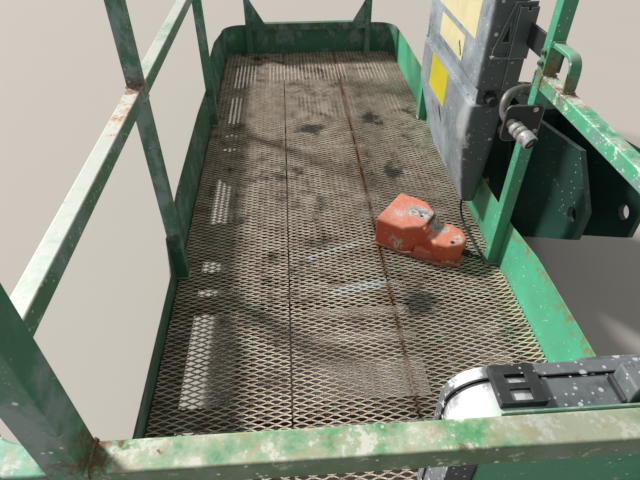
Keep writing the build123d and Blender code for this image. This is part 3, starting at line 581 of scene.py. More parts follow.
@dataclass(frozen=True)
class BareSteel:
    """Plated steel gone dull, with rust in its hollows."""

    name: str = "dull_steel"
    steel: Colour = (0.46, 0.45, 0.42)
    stain: Colour = (0.16, 0.13, 0.10)
    shine: float = 0.7

    def build(self) -> bpy.types.Material:
        """Stains the steel.

        Returns:
            The material.
        """
        g = Graph(self.name)
        at = g.place()
        cloud = g.noise(at, 60.0, 5.0, 0.6)
        grain = g.noise(at, 600.0, 2.0)
        stain = cloud.rise(0.48, 0.66)
        colour = g.mix(stain, self.steel, self.stain)
        return g.surface(
            Base_Color=colour,
            Metallic=(1 - stain * 0.8) * self.shine,
            Roughness=0.38 + cloud * 0.3,
            Normal=g.bump(grain, 0.0002),
        )


@dataclass(frozen=True)
class BlackPaint:
    """Black paint on steel sheet, scuffed to metal along its edges and dusty on top."""

    name: str = "black_paint"
    black: Colour = (0.020, 0.026, 0.027)
    bare: Colour = (0.50, 0.50, 0.47)
    dust: Colour = (0.20, 0.18, 0.15)

    def build(self) -> bpy.types.Material:
        """Scuffs and dusts the paint.

        Returns:
            The material.
        """
        g = Graph(self.name)
        at = g.place()
        cloud = g.noise(at, 25.0, 5.0, 0.6)
        grain = g.noise(at, 300.0, 3.0)
        scuffs = (g.edges(0.003) * 0.5 + cloud * 0.7).rise(0.52, 0.66)
        colour = g.mix(g.upward().rise(0.4, 1.0) * cloud.rise(0.4, 0.65) * 0.5, self.black, self.dust)
        colour = g.mix(scuffs * 0.8, colour, self.bare)
        colour = g.mix(g.flecks(at, 60.0, 0.2, 0.10), colour, self.bare)
        return g.surface(
            Base_Color=colour,
            Roughness=0.42 + grain * 0.3,
            Metallic=scuffs * 0.4,
            Normal=g.bump(grain, 0.0003),
        )


@dataclass(frozen=True)
class MouldedPlastic:
    """Moulded plastic: a fine grain, chalking and painted light where the sun reaches, painted shade on
    the other sides, scratches and paint flecks.
    """

    name: str
    base: Colour
    chalk: Colour
    chalky: float = 0.4
    flecks: float = 0.12
    fleck_colour: Colour = (0.80, 0.81, 0.80)
    scratch: float = 0.5
    shade_share: float = 0.5
    haze: float = 0.55
    pale: tuple[Stroke, ...] = ()
    black: tuple[Stroke, ...] = ()
    seam: tuple[float, float] | None = None
    soot: Colour = (0.012, 0.012, 0.014)

    def build(self) -> bpy.types.Material:
        """Layers chalk, scratches and flecks on the plastic.

        Returns:
            The material.
        """
        g = Graph(self.name)
        at = g.place()
        cloud = g.noise(at, 11.0, 6.0, 0.62)
        blotch = g.noise(g.moved(at, (4.0, 2.0, 9.0)), 42.0, 6.0, 0.7)
        grain = g.noise(at, 900.0, 2.0)
        streak = g.noise(g.scaled(at, (1.0, 1.0, 0.12)), 120.0, 5.0, 0.6)
        sunlit = g.sunlit()
        # Painted shade: the sides turned from the sun are darkened.
        colour = g.mix((1 - sunlit) * self.shade_share, self.base, tuple(0.35 * c for c in self.base))
        # Chalk and pale blotches, stronger on the sunlit sides, which also paints those sides lighter.
        chalk = (cloud * 0.6 + sunlit * 0.22 + streak * 0.15).rise(0.40, 0.68) * self.chalky
        colour = g.mix(chalk, colour, self.chalk)
        colour = g.mix(blotch.rise(0.54, 0.70) * 0.35 * sunlit, colour, self.chalk)
        colour = g.mix(blotch.rise(0.46, 0.34) * 0.4, colour, tuple(0.4 * c for c in self.base))
        if self.pale:
            haze = g.strokes(at, self.pale, (blotch - 0.5) * 0.06 + (cloud - 0.5) * 0.08)
            colour = g.mix(haze * self.haze, colour, self.fleck_colour)
        scuffs = (streak + g.edges(0.004) * 0.22).rise(0.64, 0.72) * self.scratch
        colour = g.mix(scuffs, colour, self.chalk)
        if self.black:
            colour = g.mix(g.strokes(at, self.black, (blotch - 0.5) * 0.03), colour, self.soot)
        if self.seam:
            level, half = self.seam
            gap = (abs(g.axis(at, "Y") - level) + (cloud - 0.5) * half).rise(half, half * 0.6)
            colour = g.mix(gap, colour, self.soot)
        shaken = g.moved(at, (0.3, 0.7, 0.1))
        specks = g.flecks(at, 70.0, 0.22, self.flecks) | g.flecks(at, 26.0, 0.15, self.flecks)
        specks = specks | g.flecks(shaken, 150.0, 0.26, self.flecks)
        specks = specks | g.flecks(shaken, 42.0, 0.24, self.flecks * 0.6)
        colour = g.mix(specks * 0.9, colour, self.fleck_colour)
        return g.surface(
            Base_Color=colour,
            Roughness=0.46 + cloud * 0.2 + scuffs * 0.15,
            Normal=g.bump(grain * 0.6 + streak * 0.4, 0.0003),
        )


@dataclass(frozen=True)
class WornOrange:
    """The orange-red shell of the foot switch, faded by the sun and worn to pale and grey on top."""

    name: str = "worn_orange"
    orange: Colour = (0.72, 0.115, 0.050)
    faded: Colour = (0.84, 0.27, 0.165)
    bleached: Colour = (0.80, 0.50, 0.40)
    pale: Colour = (0.74, 0.70, 0.66)
    grey: Colour = (0.15, 0.17, 0.18)
    fleck: Colour = (0.78, 0.72, 0.68)
    soil: Colour = (0.10, 0.06, 0.045)
    soiled_up_to: float = 0.165
    worn: tuple[Stroke, ...] = (
        ((0.238, -0.342, 0.228), (0.268, -0.368, 0.226), 0.034),
        ((0.280, -0.384, 0.217), (0.308, -0.398, 0.206), 0.026),
        ((0.341, -0.452, 0.202), (0.345, -0.440, 0.202), 0.010),
    )
    rubbed: tuple[Stroke, ...] = (
        ((0.188, -0.352, 0.222), (0.184, -0.395, 0.168), 0.034),
        ((0.150, -0.330, 0.200), (0.170, -0.350, 0.226), 0.012),
    )

    def build(self) -> bpy.types.Material:
        """Fades and wears the shell.

        Returns:
            The material.
        """
        g = Graph(self.name)
        at = g.place()
        cloud = g.noise(at, 28.0, 6.0, 0.62)
        blotch = g.noise(g.moved(at, (2.0, 6.0, 3.0)), 75.0, 6.0, 0.68)
        grain = g.noise(at, 500.0, 3.0)
        top = g.upward().rise(0.1, 0.85)
        colour = g.mix((top * 0.55 + cloud * 0.5).rise(0.35, 0.80), self.orange, self.faded)
        colour = g.mix(top * blotch.rise(0.46, 0.64) * 0.55, colour, self.bleached)
        tear = (blotch - 0.5) * 0.10
        worn = g.strokes(at, self.worn, tear)
        colour = g.mix(worn * 0.9, colour, self.pale)
        colour = g.mix(worn * (grain * 0.4 + blotch * 0.6).rise(0.46, 0.54), colour, self.grey)
        streak = g.noise(g.scaled(at, (1.0, 1.0, 0.15)), 210.0, 4.0, 0.6)
        rubbed = g.strokes(at, self.rubbed, tear) * streak.rise(0.42, 0.55)
        colour = g.mix(rubbed * 0.85, colour, self.pale)
        scuffs = (g.edges(0.004) * 0.30 + blotch * 0.6).rise(0.50, 0.62)
        colour = g.mix(scuffs * 0.55, colour, self.pale)
        colour = g.mix(g.flecks(at, 90.0, 0.22, 0.14), colour, self.fleck)
        soil = (1 - g.axis(at, "Z").rise(0.135, self.soiled_up_to)) * cloud.rise(0.35, 0.6)
        colour = g.mix(soil * 0.6, colour, self.soil)
        rough = 0.48 + cloud * 0.2
        return g.surface(Base_Color=colour, Roughness=rough, Normal=g.bump(grain, 0.0004))


@dataclass(frozen=True)
class BlankLabel:
    """A blank sticker: sun-dried, scratched and grubby at its rim."""

    name: str
    face: Colour
    worn: Colour = (0.35, 0.33, 0.27)
    scuffs: tuple[Stroke, ...] = ()
    soot: Colour = (0.05, 0.05, 0.05)

    def build(self) -> bpy.types.Material:
        """Dries and scratches the sticker.

        Returns:
            The material.
        """
        g = Graph(self.name)
        at = g.place()
        cloud = g.noise(at, 18.0, 5.0)
        streak = g.noise(g.scaled(at, (1.0, 0.25, 1.0)), 160.0, 5.0, 0.65)
        colour = g.mix(cloud.rise(0.35, 0.75) * 0.22, self.face, self.worn)
        colour = g.mix(streak.rise(0.66, 0.72) * 0.7, colour, self.worn)
        colour = g.mix(g.edges(0.002) * 0.4, colour, self.worn)
        if self.scuffs:
            colour = g.mix(g.strokes(at, self.scuffs, (streak - 0.5) * 0.02), colour, self.soot)
        rough = 0.4 + cloud * 0.25
        return g.surface(Base_Color=colour, Roughness=rough, Normal=g.bump(streak, 0.0001))


@dataclass(frozen=True)
class BlackRubber:
    """Black rubber, greyed by dust."""

    name: str = "black_rubber"
    rubber: Colour = (0.016, 0.016, 0.017)
    dust: Colour = (0.13, 0.115, 0.10)

    def build(self) -> bpy.types.Material:
        """Dusts the rubber.

        Returns:
            The material.
        """
        g = Graph(self.name)
        at = g.place()
        cloud = g.noise(at, 40.0, 4.0)
        colour = g.mix(cloud.rise(0.42, 0.7) * 0.6, self.rubber, self.dust)
        rough = 0.7 + cloud * 0.2
        return g.surface(Base_Color=colour, Roughness=rough, Normal=g.bump(cloud, 0.0002))


@dataclass(frozen=True)
class PaleGround:
    """The pale floor under the platform and its plain backdrop."""

    name: str = "pale_ground"
    floor: Colour = (0.60, 0.545, 0.485)
    cloud: Colour = (0.46, 0.41, 0.36)

    def build(self) -> bpy.types.Material:
        """Clouds the floor.

        Returns:
            The material.
        """
        g = Graph(self.name)
        grain = g.noise(g.place(), 3.0, 5.0)
        return g.surface(Base_Color=g.mix(grain * 0.12, self.floor, self.cloud), Roughness=0.9)


class Finishes:
    """Every finish of the platform, built once and handed out by name."""

    def __init__(self) -> None:
        """Builds them all."""
        self._enamels()
        self._mouldings()
        self.frame = ShadedSoiledFrame().build()
        self.mesh = TroddenMesh("trodden_mesh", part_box("floor_mesh_right")[0].x).build()
        self.steel = BareSteel().build()
        self.pipe = BareSteel("stained_pipe", (0.26, 0.245, 0.23), (0.11, 0.08, 0.06), 0.45).build()
        self.plated = BareSteel("plated_steel", (0.68, 0.68, 0.65), (0.24, 0.19, 0.15), 0.35).build()
        self.black_paint = BlackPaint().build()
        self.grey_paint = BlackPaint(
            "grey_paint", (0.105, 0.125, 0.125), (0.80, 0.82, 0.80), (0.25, 0.27, 0.27)
        ).build()
        self.rubber = BlackRubber().build()
        scuff = ((0.372, -0.085, 0.642), (0.372, -0.110, 0.616), 0.006)
        self.cream = BlankLabel("cream_label", (0.86, 0.76, 0.44), scuffs=(scuff,)).build()
        self.yellow = BlankLabel("yellow_label", (0.86, 0.74, 0.02), (0.42, 0.36, 0.05)).build()

    def _enamels(self) -> None:
        """The green enamels of the rails, posts, plates and boom."""
        joints = self._welds()
        plates_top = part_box("kick_plates_right")[1].z
        left_low, left_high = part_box("mid_rail_left")
        x, top = (left_low.x + left_high.x) / 2, left_high.z
        faded = (
            ((x, left_low.y, top), (x, -0.62, top), 0.060),
            ((x, -0.40, top), (x, 0.40, top), 0.040),
        )
        flaked = (
            ((x, -0.50, top), (x, -0.66, top), 0.036),
            ((-x, -0.545, top), (-x, -0.610, top), 0.020),
        )
        self.rails = GreenEnamel(
            "enamel_rails", Wear.HEAVY, 0.2, 0.9, shade_colour=(0.060, 0.165, 0.092),
            reflection_share=0.7, welds=joints, faded=faded, flaked=flaked,
        ).build()
        self.near_rails = GreenEnamel(
            "enamel_near_rails", Wear.HEAVY, 0.35, 0.9, green=(0.10, 0.46, 0.185),
            deep=(0.060, 0.33, 0.135), shade_colour=(0.070, 0.135, 0.068), bleached=(0.64, 0.68, 0.48),
            chalk=(0.84, 0.83, 0.72), reflection_share=0.25, welds=joints,
        ).build()
        self.posts = GreenEnamel("enamel_posts", Wear.MEDIUM, 0.15, 0.6, welds=joints).build()
        # A brighter copy of the enamel for the kick plates on the sunlit side: painted light.
        self.plates = GreenEnamel(
            "enamel_plates", Wear.LIGHT, 0.3, 0.3, green=(0.10, 0.58, 0.33), deep=(0.065, 0.46, 0.25),
            rust=(0.30, 0.185, 0.055), rim=(plates_top - 0.004, 0.040),
        ).build()
        # A darker copy of the enamel for the pieces that stand in shade: painted shade.
        self.shade = GreenEnamel(
            "enamel_shade", Wear.LIGHT, 0.35, 0.6, 0.2, green=(0.045, 0.27, 0.140),
            deep=(0.025, 0.17, 0.090), shade_colour=(0.034, 0.150, 0.082), bleached=(0.30, 0.37, 0.32),
            rust=(0.13, 0.072, 0.034), reflection_share=0.75, welds=joints, rim=(plates_top - 0.006, 0.030),
        ).build()
        # The boom end's enamel is kept nearly black: painted shade over its green.
        self.boom = GreenEnamel(
            "enamel_boom", Wear.LIGHT, 0.3, 0.4, green=(0.030, 0.105, 0.078), deep=(0.014, 0.050, 0.040),
            shade_colour=(0.008, 0.022, 0.018), bleached=(0.10, 0.16, 0.14), flecks=0.03, scratched=0.1,
        ).build()

    def _mouldings(self) -> None:
        """The plastics of the console, the controls, the case and the foot switch."""
        self.console = MouldedPlastic(
            "console_plastic", (0.155, 0.180, 0.190), (0.46, 0.52, 0.55), 0.85,
            pale=(
                ((0.367, -0.245, 0.520), (0.367, -0.228, 0.455), 0.045),
                ((0.367, -0.285, 0.440), (0.367, -0.285, 0.360), 0.012),
            ),
            black=(
                ((0.367, -0.010, 0.405), (0.367, -0.035, 0.372), 0.010),
                ((0.367, -0.060, 0.345), (0.367, -0.085, 0.330), 0.009),
            ),
        ).build()
        self.head = MouldedPlastic(
            "head_plastic", (0.085, 0.100, 0.105), (0.32, 0.35, 0.36), 0.5
        ).build()
        case_seam = (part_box("case_back")[1].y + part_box("case_lid")[0].y) / 2
        self.case = MouldedPlastic(
            "case_plastic", (0.085, 0.098, 0.110), (0.46, 0.48, 0.49), 0.55, 0.42, (0.92, 0.92, 0.90),
            haze=0.95,
            # The pale strokes on the case's near corner are white paint splatter and also a painted
            # highlight where the corner catches the light.
            pale=(
                ((0.045, -1.262, 0.640), (0.080, -1.250, 0.677), 0.042),
                ((0.060, -1.210, 0.670), (0.055, -1.195, 0.660), 0.016),
            ),
            seam=(case_seam, 0.0042),
        ).build()
        self.black = MouldedPlastic(
            "black_plastic", (0.020, 0.021, 0.023), (0.16, 0.16, 0.16), 0.3, 0.1
        ).build()
        self.red = MouldedPlastic(
            "red_plastic", (0.50, 0.018, 0.015), (0.62, 0.22, 0.18), 0.2, 0.05
        ).build()
        self.orange = WornOrange().build()

    @staticmethod
    def _welds() -> tuple[Point, ...]:
        """Where rust has started.

        Returns:
            The joints of the posts and the ring with the mid rails.
        """
        rail_low, rail_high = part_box("mid_rail_right")
        post_low, post_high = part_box("side_posts_right")
        gate_low, gate_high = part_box("gate_posts_near")
        ring_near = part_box("lanyard_ring")[0].y
        x, top = (rail_low.x + rail_high.x) / 2, rail_high.z
        return (
            (x, post_low.y, top),
            (x, ring_near, top),
            (-x, post_low.y, top),
            (gate_low.x + 0.03, gate_high.y, top),
            (x, post_high.y, top),
        )


@dataclass
class MeshMaker:
    """Collects corners and faces, and makes one mesh piece of them."""

    name: str

    def __post_init__(self) -> None:
        """Starts with nothing."""
        self.corners: list[np.ndarray] = []
        self.faces: list[np.ndarray] = []
        self.count = 0

    def add(self, corners: np.ndarray, faces: np.ndarray) -> None:
        """Adds one lot of faces.

        Args:
            corners: their corners.
            faces: the corners of each, counted from the first of this lot.
        """
        self.corners.append(corners)
        self.faces.append(faces + self.count)
        self.count += len(corners)

    def bars(self, starts: np.ndarray, ends: np.ndarray, wide: np.ndarray, tall: np.ndarray) -> None:
        """Adds four-sided bars with closed ends.

        Args:
            starts: the middle of each bar's first end.
            ends: the middle of its other end.
            wide: half its width, as a vector for each bar.
            tall: half its height, as a vector for each bar.
        """
        number = len(starts)
        ring = [-wide - tall, wide - tall, wide + tall, -wide + tall]
        corners = np.stack([starts + r for r in ring] + [ends + r for r in ring], axis=1)
        pattern = np.array(
            [(0, 1, 5, 4), (1, 2, 6, 5), (2, 3, 7, 6), (3, 0, 4, 7), (3, 2, 1, 0), (4, 5, 6, 7)]
        )
        faces = (np.arange(number) * 8)[:, None, None] + pattern[None]
        self.add(corners.reshape(-1, 3), faces.reshape(-1, 4))

    def rings(self, places: Sequence[Point], radii: float | Sequence[float], sides: int = 12) -> None:
        """Adds one closed skin over a row of rings: bolts, plugs, beads.

        Args:
            places: the middle of each ring.
            radii: one radius for all of them, or each ring's own.
            sides: corners of a ring, an even number.
        """
        centres = np.array([tuple(place) for place in places])
        sizes = np.broadcast_to(np.asarray(radii, float), len(centres))
        heading = np.gradient(centres, axis=0)
        heading[0], heading[-1] = heading[1], heading[-2]
        heading /= np.linalg.norm(heading, axis=1)[:, None] + 1e-12
        side = np.cross(heading[0], np.eye(3)[np.argmin(np.abs(heading[0]))])
        angles = np.arange(sides) * 2 * np.pi / sides
        rows = []
        for centre, size, aim in zip(centres, sizes, heading):
            side = side - aim * side.dot(aim)
            side = side / np.linalg.norm(side)
            other = np.cross(aim, side)
            circle = np.cos(angles)[:, None] * side + np.sin(angles)[:, None] * other
            rows.append(centre + size * circle)
        row, corner = np.meshgrid(np.arange(len(rows) - 1) * sides, np.arange(sides), indexing="ij")
        after = (corner + 1) % sides
        skin = np.stack([row + corner, row + after, row + sides + after, row + sides + corner], axis=-1)
        caps = [(k, k + 1, sides - 2 - k, sides - 1 - k) for k in range(sides // 2 - 1)]
        last = (len(rows) - 1) * sides
        first_cap = [cap[::-1] for cap in caps]
        last_cap = [tuple(last + corner for corner in cap) for cap in caps]
        self.add(np.concatenate(rows), np.concatenate([skin.reshape(-1, 4), first_cap, last_cap]))

    def turned(self, foot: Point, aim: Point, profile: Profile, sides: int = 16) -> None:
        """Adds a turned part.

        Args:
            foot: where its axis starts.
            aim: the way that its axis points.
            profile: the distance along the axis and the radius of each ring.
            sides: corners of a ring.
        """
        axis = Vector(aim).normalized()
        places = [Vector(foot) + axis * way for way, _ in profile]
        self.rings(places, [radius for _, radius in profile], sides)

    def bolt(self, foot: Point, aim: Point, radius: float) -> None:
        """Adds a hexagon bolt head on its washer.

        Args:
            foot: where it stands.
            aim: the way that it points.
            radius: half the width of its head, corner to corner.
        """
        washer = ((0.0, 1.35), (0.15, 1.35), (0.2, 1.25))
        head = ((0.1, 1.0), (0.7, 1.0), (0.85, 0.88))
        for profile, sides in ((washer, 16), (head, 6)):
            self.turned(foot, aim, [(radius * way, radius * wide) for way, wide in profile], sides)

    def bead(self, outline: Sequence[Point], radius: float, closed: bool = True) -> None:
        """Adds a rippled weld bead.

        Args:
            outline: the corners that it goes by.
            radius: its mean radius.
            closed: whether it ends where it started.
        """
        corners = [Vector(corner) for corner in outline]
        places: list[Vector] = []
        for start, end in zip(corners, corners[1:] + corners[:1] if closed else corners[1:]):
            steps = max(2, round((end - start).length / (radius * 0.7)))
            places += [start.lerp(end, step / steps) for step in range(steps)]
        places.append(places[0].copy() if closed else corners[-1])
        ripple = np.abs(np.sin(np.arange(len(places)) * 0.9))
        self.rings(places, radius * (0.8 + 0.35 * ripple), 6)

    def hexahedron(self, corners: Sequence[Point]) -> None:
        """Adds a block by its eight corners: four below, then the four above them."""
        faces = [(3, 2, 1, 0), (4, 5, 6, 7), (0, 1, 5, 4), (1, 2, 6, 5), (2, 3, 7, 6), (3, 0, 4, 7)]
        self.add(np.array([tuple(corner) for corner in corners]), np.array(faces))

    def box(self, low: Point, high: Point) -> None:
        """Adds a block between two corners."""
        around = [(low[0], low[1]), (high[0], low[1]), (high[0], high[1]), (low[0], high[1])]
        self.hexahedron([(x, y, z) for z in (low[2], high[2]) for x, y in around])

    def piece(self, body: str, finish: bpy.types.Material) -> bpy.types.Object:
        """Makes the piece.

        Args:
            body: the moving body that it rides on.
            finish: its material.

        Returns:
            The finished object.
        """
        mesh = bpy.data.meshes.new(self.name)
        mesh.from_pydata(np.concatenate(self.corners).tolist(), [], np.concatenate(self.faces).tolist())
        mesh.update()
        made = bpy.data.objects.new(self.name, mesh)
        bpy.context.scene.collection.objects.link(made)
        made.data.materials.append(finish)
        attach(made, body)
        log.info("made %s: %d faces", self.name, len(mesh.polygons))
        return made


class Edge(Enum):
    """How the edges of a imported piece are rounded."""

    SHARP = (0.0, 0)
    TUBE = (0.0035, 3)
    FRAME_TUBE = (0.003, 2)
    FLAT_BAR = (0.003, 3)
    PLATE = (0.0015, 2)
    SHEET = (0.001, 2)
    THIN_SHEET = (0.0008, 2)
    PIN = (0.001, 1)
    BARREL = (0.0012, 3)
    KNOB = (0.002, 2)
    HANDLE = (0.004, 3)
    CASE = (0.006, 4)

    def __init__(self, radius: float, segments: int) -> None:
        """Names the two numbers.

        Args:
            radius: the radius of a rounded edge; 0 leaves the edges as they are.
            segments: facets across a rounded edge.
        """
        self.radius = radius
        self.segments = segments


def dress(nodes: Iterable[str], finish: bpy.types.Material, edge: Edge = Edge.SHARP) -> None:
    """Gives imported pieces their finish, and rounds their edges.

    Args:
        nodes: the pieces' names.
        finish: the material.
        edge: how their edges are rounded.
    """
    for name in nodes:
        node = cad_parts[name]
        node.data.materials.clear()
        node.data.materials.append(finish)
        if edge.radius:
            weld = node.modifiers.new("weld", "WELD")
            weld.merge_threshold = WELD_GAP
            bevel = node.modifiers.new("rounded", "BEVEL")
            bevel.width = edge.radius
            bevel.segments = edge.segments
            bevel.limit_method = "ANGLE"
            bevel.angle_limit = SHARP_ANGLE
            bevel.harden_normals = True
        log.info("dressed %s", name)


def soften(nodes: Iterable[str], finish: bpy.types.Material, grain: float, passes: int) -> None:
    """Gives packed mouldings their finish and the large soft edges of a moulding.

    Args:
        nodes: the pieces' names.
        finish: the material.
        grain: the size of a facet.
        passes: how often the skin is smoothed.
    """
    for name in nodes:
        dress([name], finish)
        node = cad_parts[name]
        weld = node.modifiers.new("weld", "WELD")
        weld.merge_threshold = WELD_GAP
        remesh = node.modifiers.new("skin", "REMESH")
        remesh.mode = "VOXEL"
        remesh.voxel_size = grain
        remesh.use_smooth_shade = True
        smooth = node.modifiers.new("soft", "SMOOTH")
        smooth.factor = 0.5
        smooth.iterations = passes


@dataclass
class SubAssembly:
    """A part of the platform that wears the shared finishes."""

    finishes: Finishes


@dataclass
class ExpandedFloor(SubAssembly):
    """The three sheets of expanded metal, strand by strand."""

    long_way: float = 0.0375
    short_way: float = 0.0156
    knuckle: float = 0.0085
    least_knuckle: float = 0.001
    strand_half: float = 0.00150
    strand_tall: float = 0.00130
    inset: float = 0.0004
    rim: float = 0.0015
    overrun: float = 0.008
    side_overrun: float = 0.006
    jitter: float = 0.0005
    corner_radius: float = 0.099
    post_width: float = 0.032
    post_gap: float = 0.002
    curl: float = 0.014
    curl_width: float = 0.040
    curl_near: float = -1.15
    curl_far: float = -0.50
    curl_fade: float = 0.05

    def build(self) -> None:
        """Makes each sheet in the place of its plain one."""
        for name in ("floor_mesh_left", "floor_mesh_middle", "floor_mesh_right"):
            low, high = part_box(name)
            maker = MeshMaker("expanded_" + name.rsplit("_", 1)[1])
            self._sheet(maker, low, high, random.Random(name))
            made = maker.piece(PLATFORM, self.finishes.mesh)
            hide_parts(name)

    def _sheet(self, maker: MeshMaker, low: Vector, high: Vector, chance: random.Random) -> None:
        """Fills one sheet with its strands and knuckles.

        Args:
            maker: what collects the sheet's mesh.
            low: the sheet's lowest corner.
            high: its highest corner.
            chance: the sheet's own random numbers.
        """
        z_low = low.z + self.strand_tall + self.inset
        z_high = z_low + (high.z - low.z) - 2 * self.strand_tall - 2 * self.inset
        rows = int((high.y - low.y - 2 * self.rim) / (self.short_way / 2))
        columns = int((high.x - low.x) / self.long_way) + 3
        row, column = np.meshgrid(np.arange(rows + 1), np.arange(columns), indexing="ij")
        x = low.x + self.long_way * (column - 1 + (row % 2) / 2)
        y = low.y + self.rim + row * self.short_way / 2
        shake = np.random.default_rng(chance.randrange(10**6))
        x = x + shake.normal(0, self.jitter, x.shape)
        y = y + shake.normal(0, self.jitter * 0.6, y.shape)
        left, right = low.x + self.rim, high.x - self.rim
        half = self.knuckle / 2
        starts, ends = np.clip(x - half, left, right), np.clip(x + half, left, right)
        keep = (ends - starts > self.least_knuckle) & self._inside(x, y, low, high)
        middle_z = (z_low + z_high) / 2
        start, end = self._level(starts, y, middle_z)[keep], self._level(ends, y, middle_z)[keep]
        wide = np.array([0.0, self.strand_half * 1.5, (z_high - z_low) / 2])
        tall = np.array([0.0, -self.strand_tall * 0.75, self.strand_tall * 0.55])
        wide, tall = (np.tile(vector, (len(start), 1)) for vector in (wide, tall))
        maker.bars(self._curled(start), self._curled(end), wide, tall)
        for side, back in ((-1, 1), (1, 0)):
            shift = np.arange(rows) % 2 - back
            target = np.clip(np.arange(columns)[None] + shift[:, None], 0, columns - 1)
            far_x, far_y = (np.take_along_axis(values[1:], target, axis=1) for values in (x, y))
            first = self._level(x[:-1] + side * half, y[:-1] + self.strand_half, z_high)
            last = self._level(far_x - side * half, far_y - self.strand_half, z_low)
            middle = (first + last) / 2
            good = np.abs(last[..., 0] - first[..., 0]) < self.long_way * 0.6
            good &= self._inside(middle[..., 0], middle[..., 1], low, high)
            good &= np.minimum(first[..., 0], last[..., 0]) > left - self.overrun
            good &= np.maximum(first[..., 0], last[..., 0]) < right + self.overrun
            self._strands(maker, first[good], last[good], (left, right))

    def _strands(
        self, maker: MeshMaker, first: np.ndarray, last: np.ndarray, sides: tuple[float, float]
    ) -> None:
        """Adds the strands that lean one way.

        Args:
            maker: what collects the sheet's mesh.
            first: the middle of each strand's upper end.
            last: the middle of its lower end.
            sides: the sheet's left and right, where strands are cut off.
        """
        for points in (first, last):
            points[:, 0] = np.clip(points[:, 0], *sides)
        first, last = self._curled(first), self._curled(last)
        along = last - first
        along /= np.linalg.norm(along, axis=1)[:, None] + 1e-9
        across = np.cross(along, np.array(UP))
        across /= np.linalg.norm(across, axis=1)[:, None] + 1e-9
        upright = np.cross(across, along)
        maker.bars(first, last, across * self.strand_half, upright * self.strand_tall)

    @staticmethod
    def _level(x: np.ndarray, y: np.ndarray, z: float) -> np.ndarray:
        """Points at one level."""
        return np.stack([x, y, np.full_like(x, z)], axis=-1)

    def _curled(self, points: np.ndarray) -> np.ndarray:
        """Curls the sheet's edge up along the boom side.

        Args:
            points: points of the flat sheet.

        Returns:
            The same points, lifted where the edge has curled.
        """
        x, y = points[:, 0], points[:, 1]
        across = np.clip((x - CAD_FLOOR[1].x + self.curl_width) / self.curl_width, 0, 1)
        far = np.clip((self.curl_far - y) / self.curl_fade, 0, 1)
        near = np.clip((y - self.curl_near) / self.curl_fade, 0, 1)
        lifted = points.copy()
        lifted[:, 2] += self.curl * across**1.5 * far * near
        return lifted

    def _inside(self, x: np.ndarray, y: np.ndarray, low: Vector, high: Vector) -> np.ndarray:
        """Which points lie on a sheet, clear of the posts and inside the rounded corners.

        Args:
            x: the points' places across the floor.
            y: their places along it.
            low: the sheet's lowest corner.
            high: its highest corner.

        Returns:
            True for each point that does.
        """
        inside = (x > low.x - self.side_overrun) & (x < high.x + self.side_overrun)
        inside &= (y > low.y + self.rim) & (y < high.y - self.rim)
        clear = self.rim + self.post_gap
        for post_low, post_high in self._posts():
            hit = (x > post_low.x - clear) & (x < post_high.x + clear)
            hit &= (y > post_low.y - clear) & (y < post_high.y + clear)
            inside &= ~hit
        beyond = []
        for axis, values in enumerate((x, y)):
            start, end = CAD_FLOOR[0][axis], CAD_FLOOR[1][axis]
            straight = (end - start) / 2 - self.corner_radius
            beyond.append(np.maximum(np.abs(values - (start + end) / 2) - straight, 0))
        return inside & (beyond[0] ** 2 + beyond[1] ** 2 < (self.corner_radius - self.rim) ** 2)

    def _posts(self) -> list[tuple[Vector, Vector]]:
        """The feet of the posts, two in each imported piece.

        Returns:
            The lowest and the highest corner of each, to be read in plan.
        """
        feet: list[tuple[Vector, Vector]] = []
        for name in ("side_posts_left", "side_posts_right", "gate_posts_near", "gate_posts_far"):
            low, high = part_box(name)
            axis = 0 if high.x - low.x > high.y - low.y else 1
            near_end, far_end = high.copy(), low.copy()
            near_end[axis] = low[axis] + self.post_width
            far_end[axis] = high[axis] - self.post_width
            feet += [(low, near_end), (far_end, high)]
        return feet


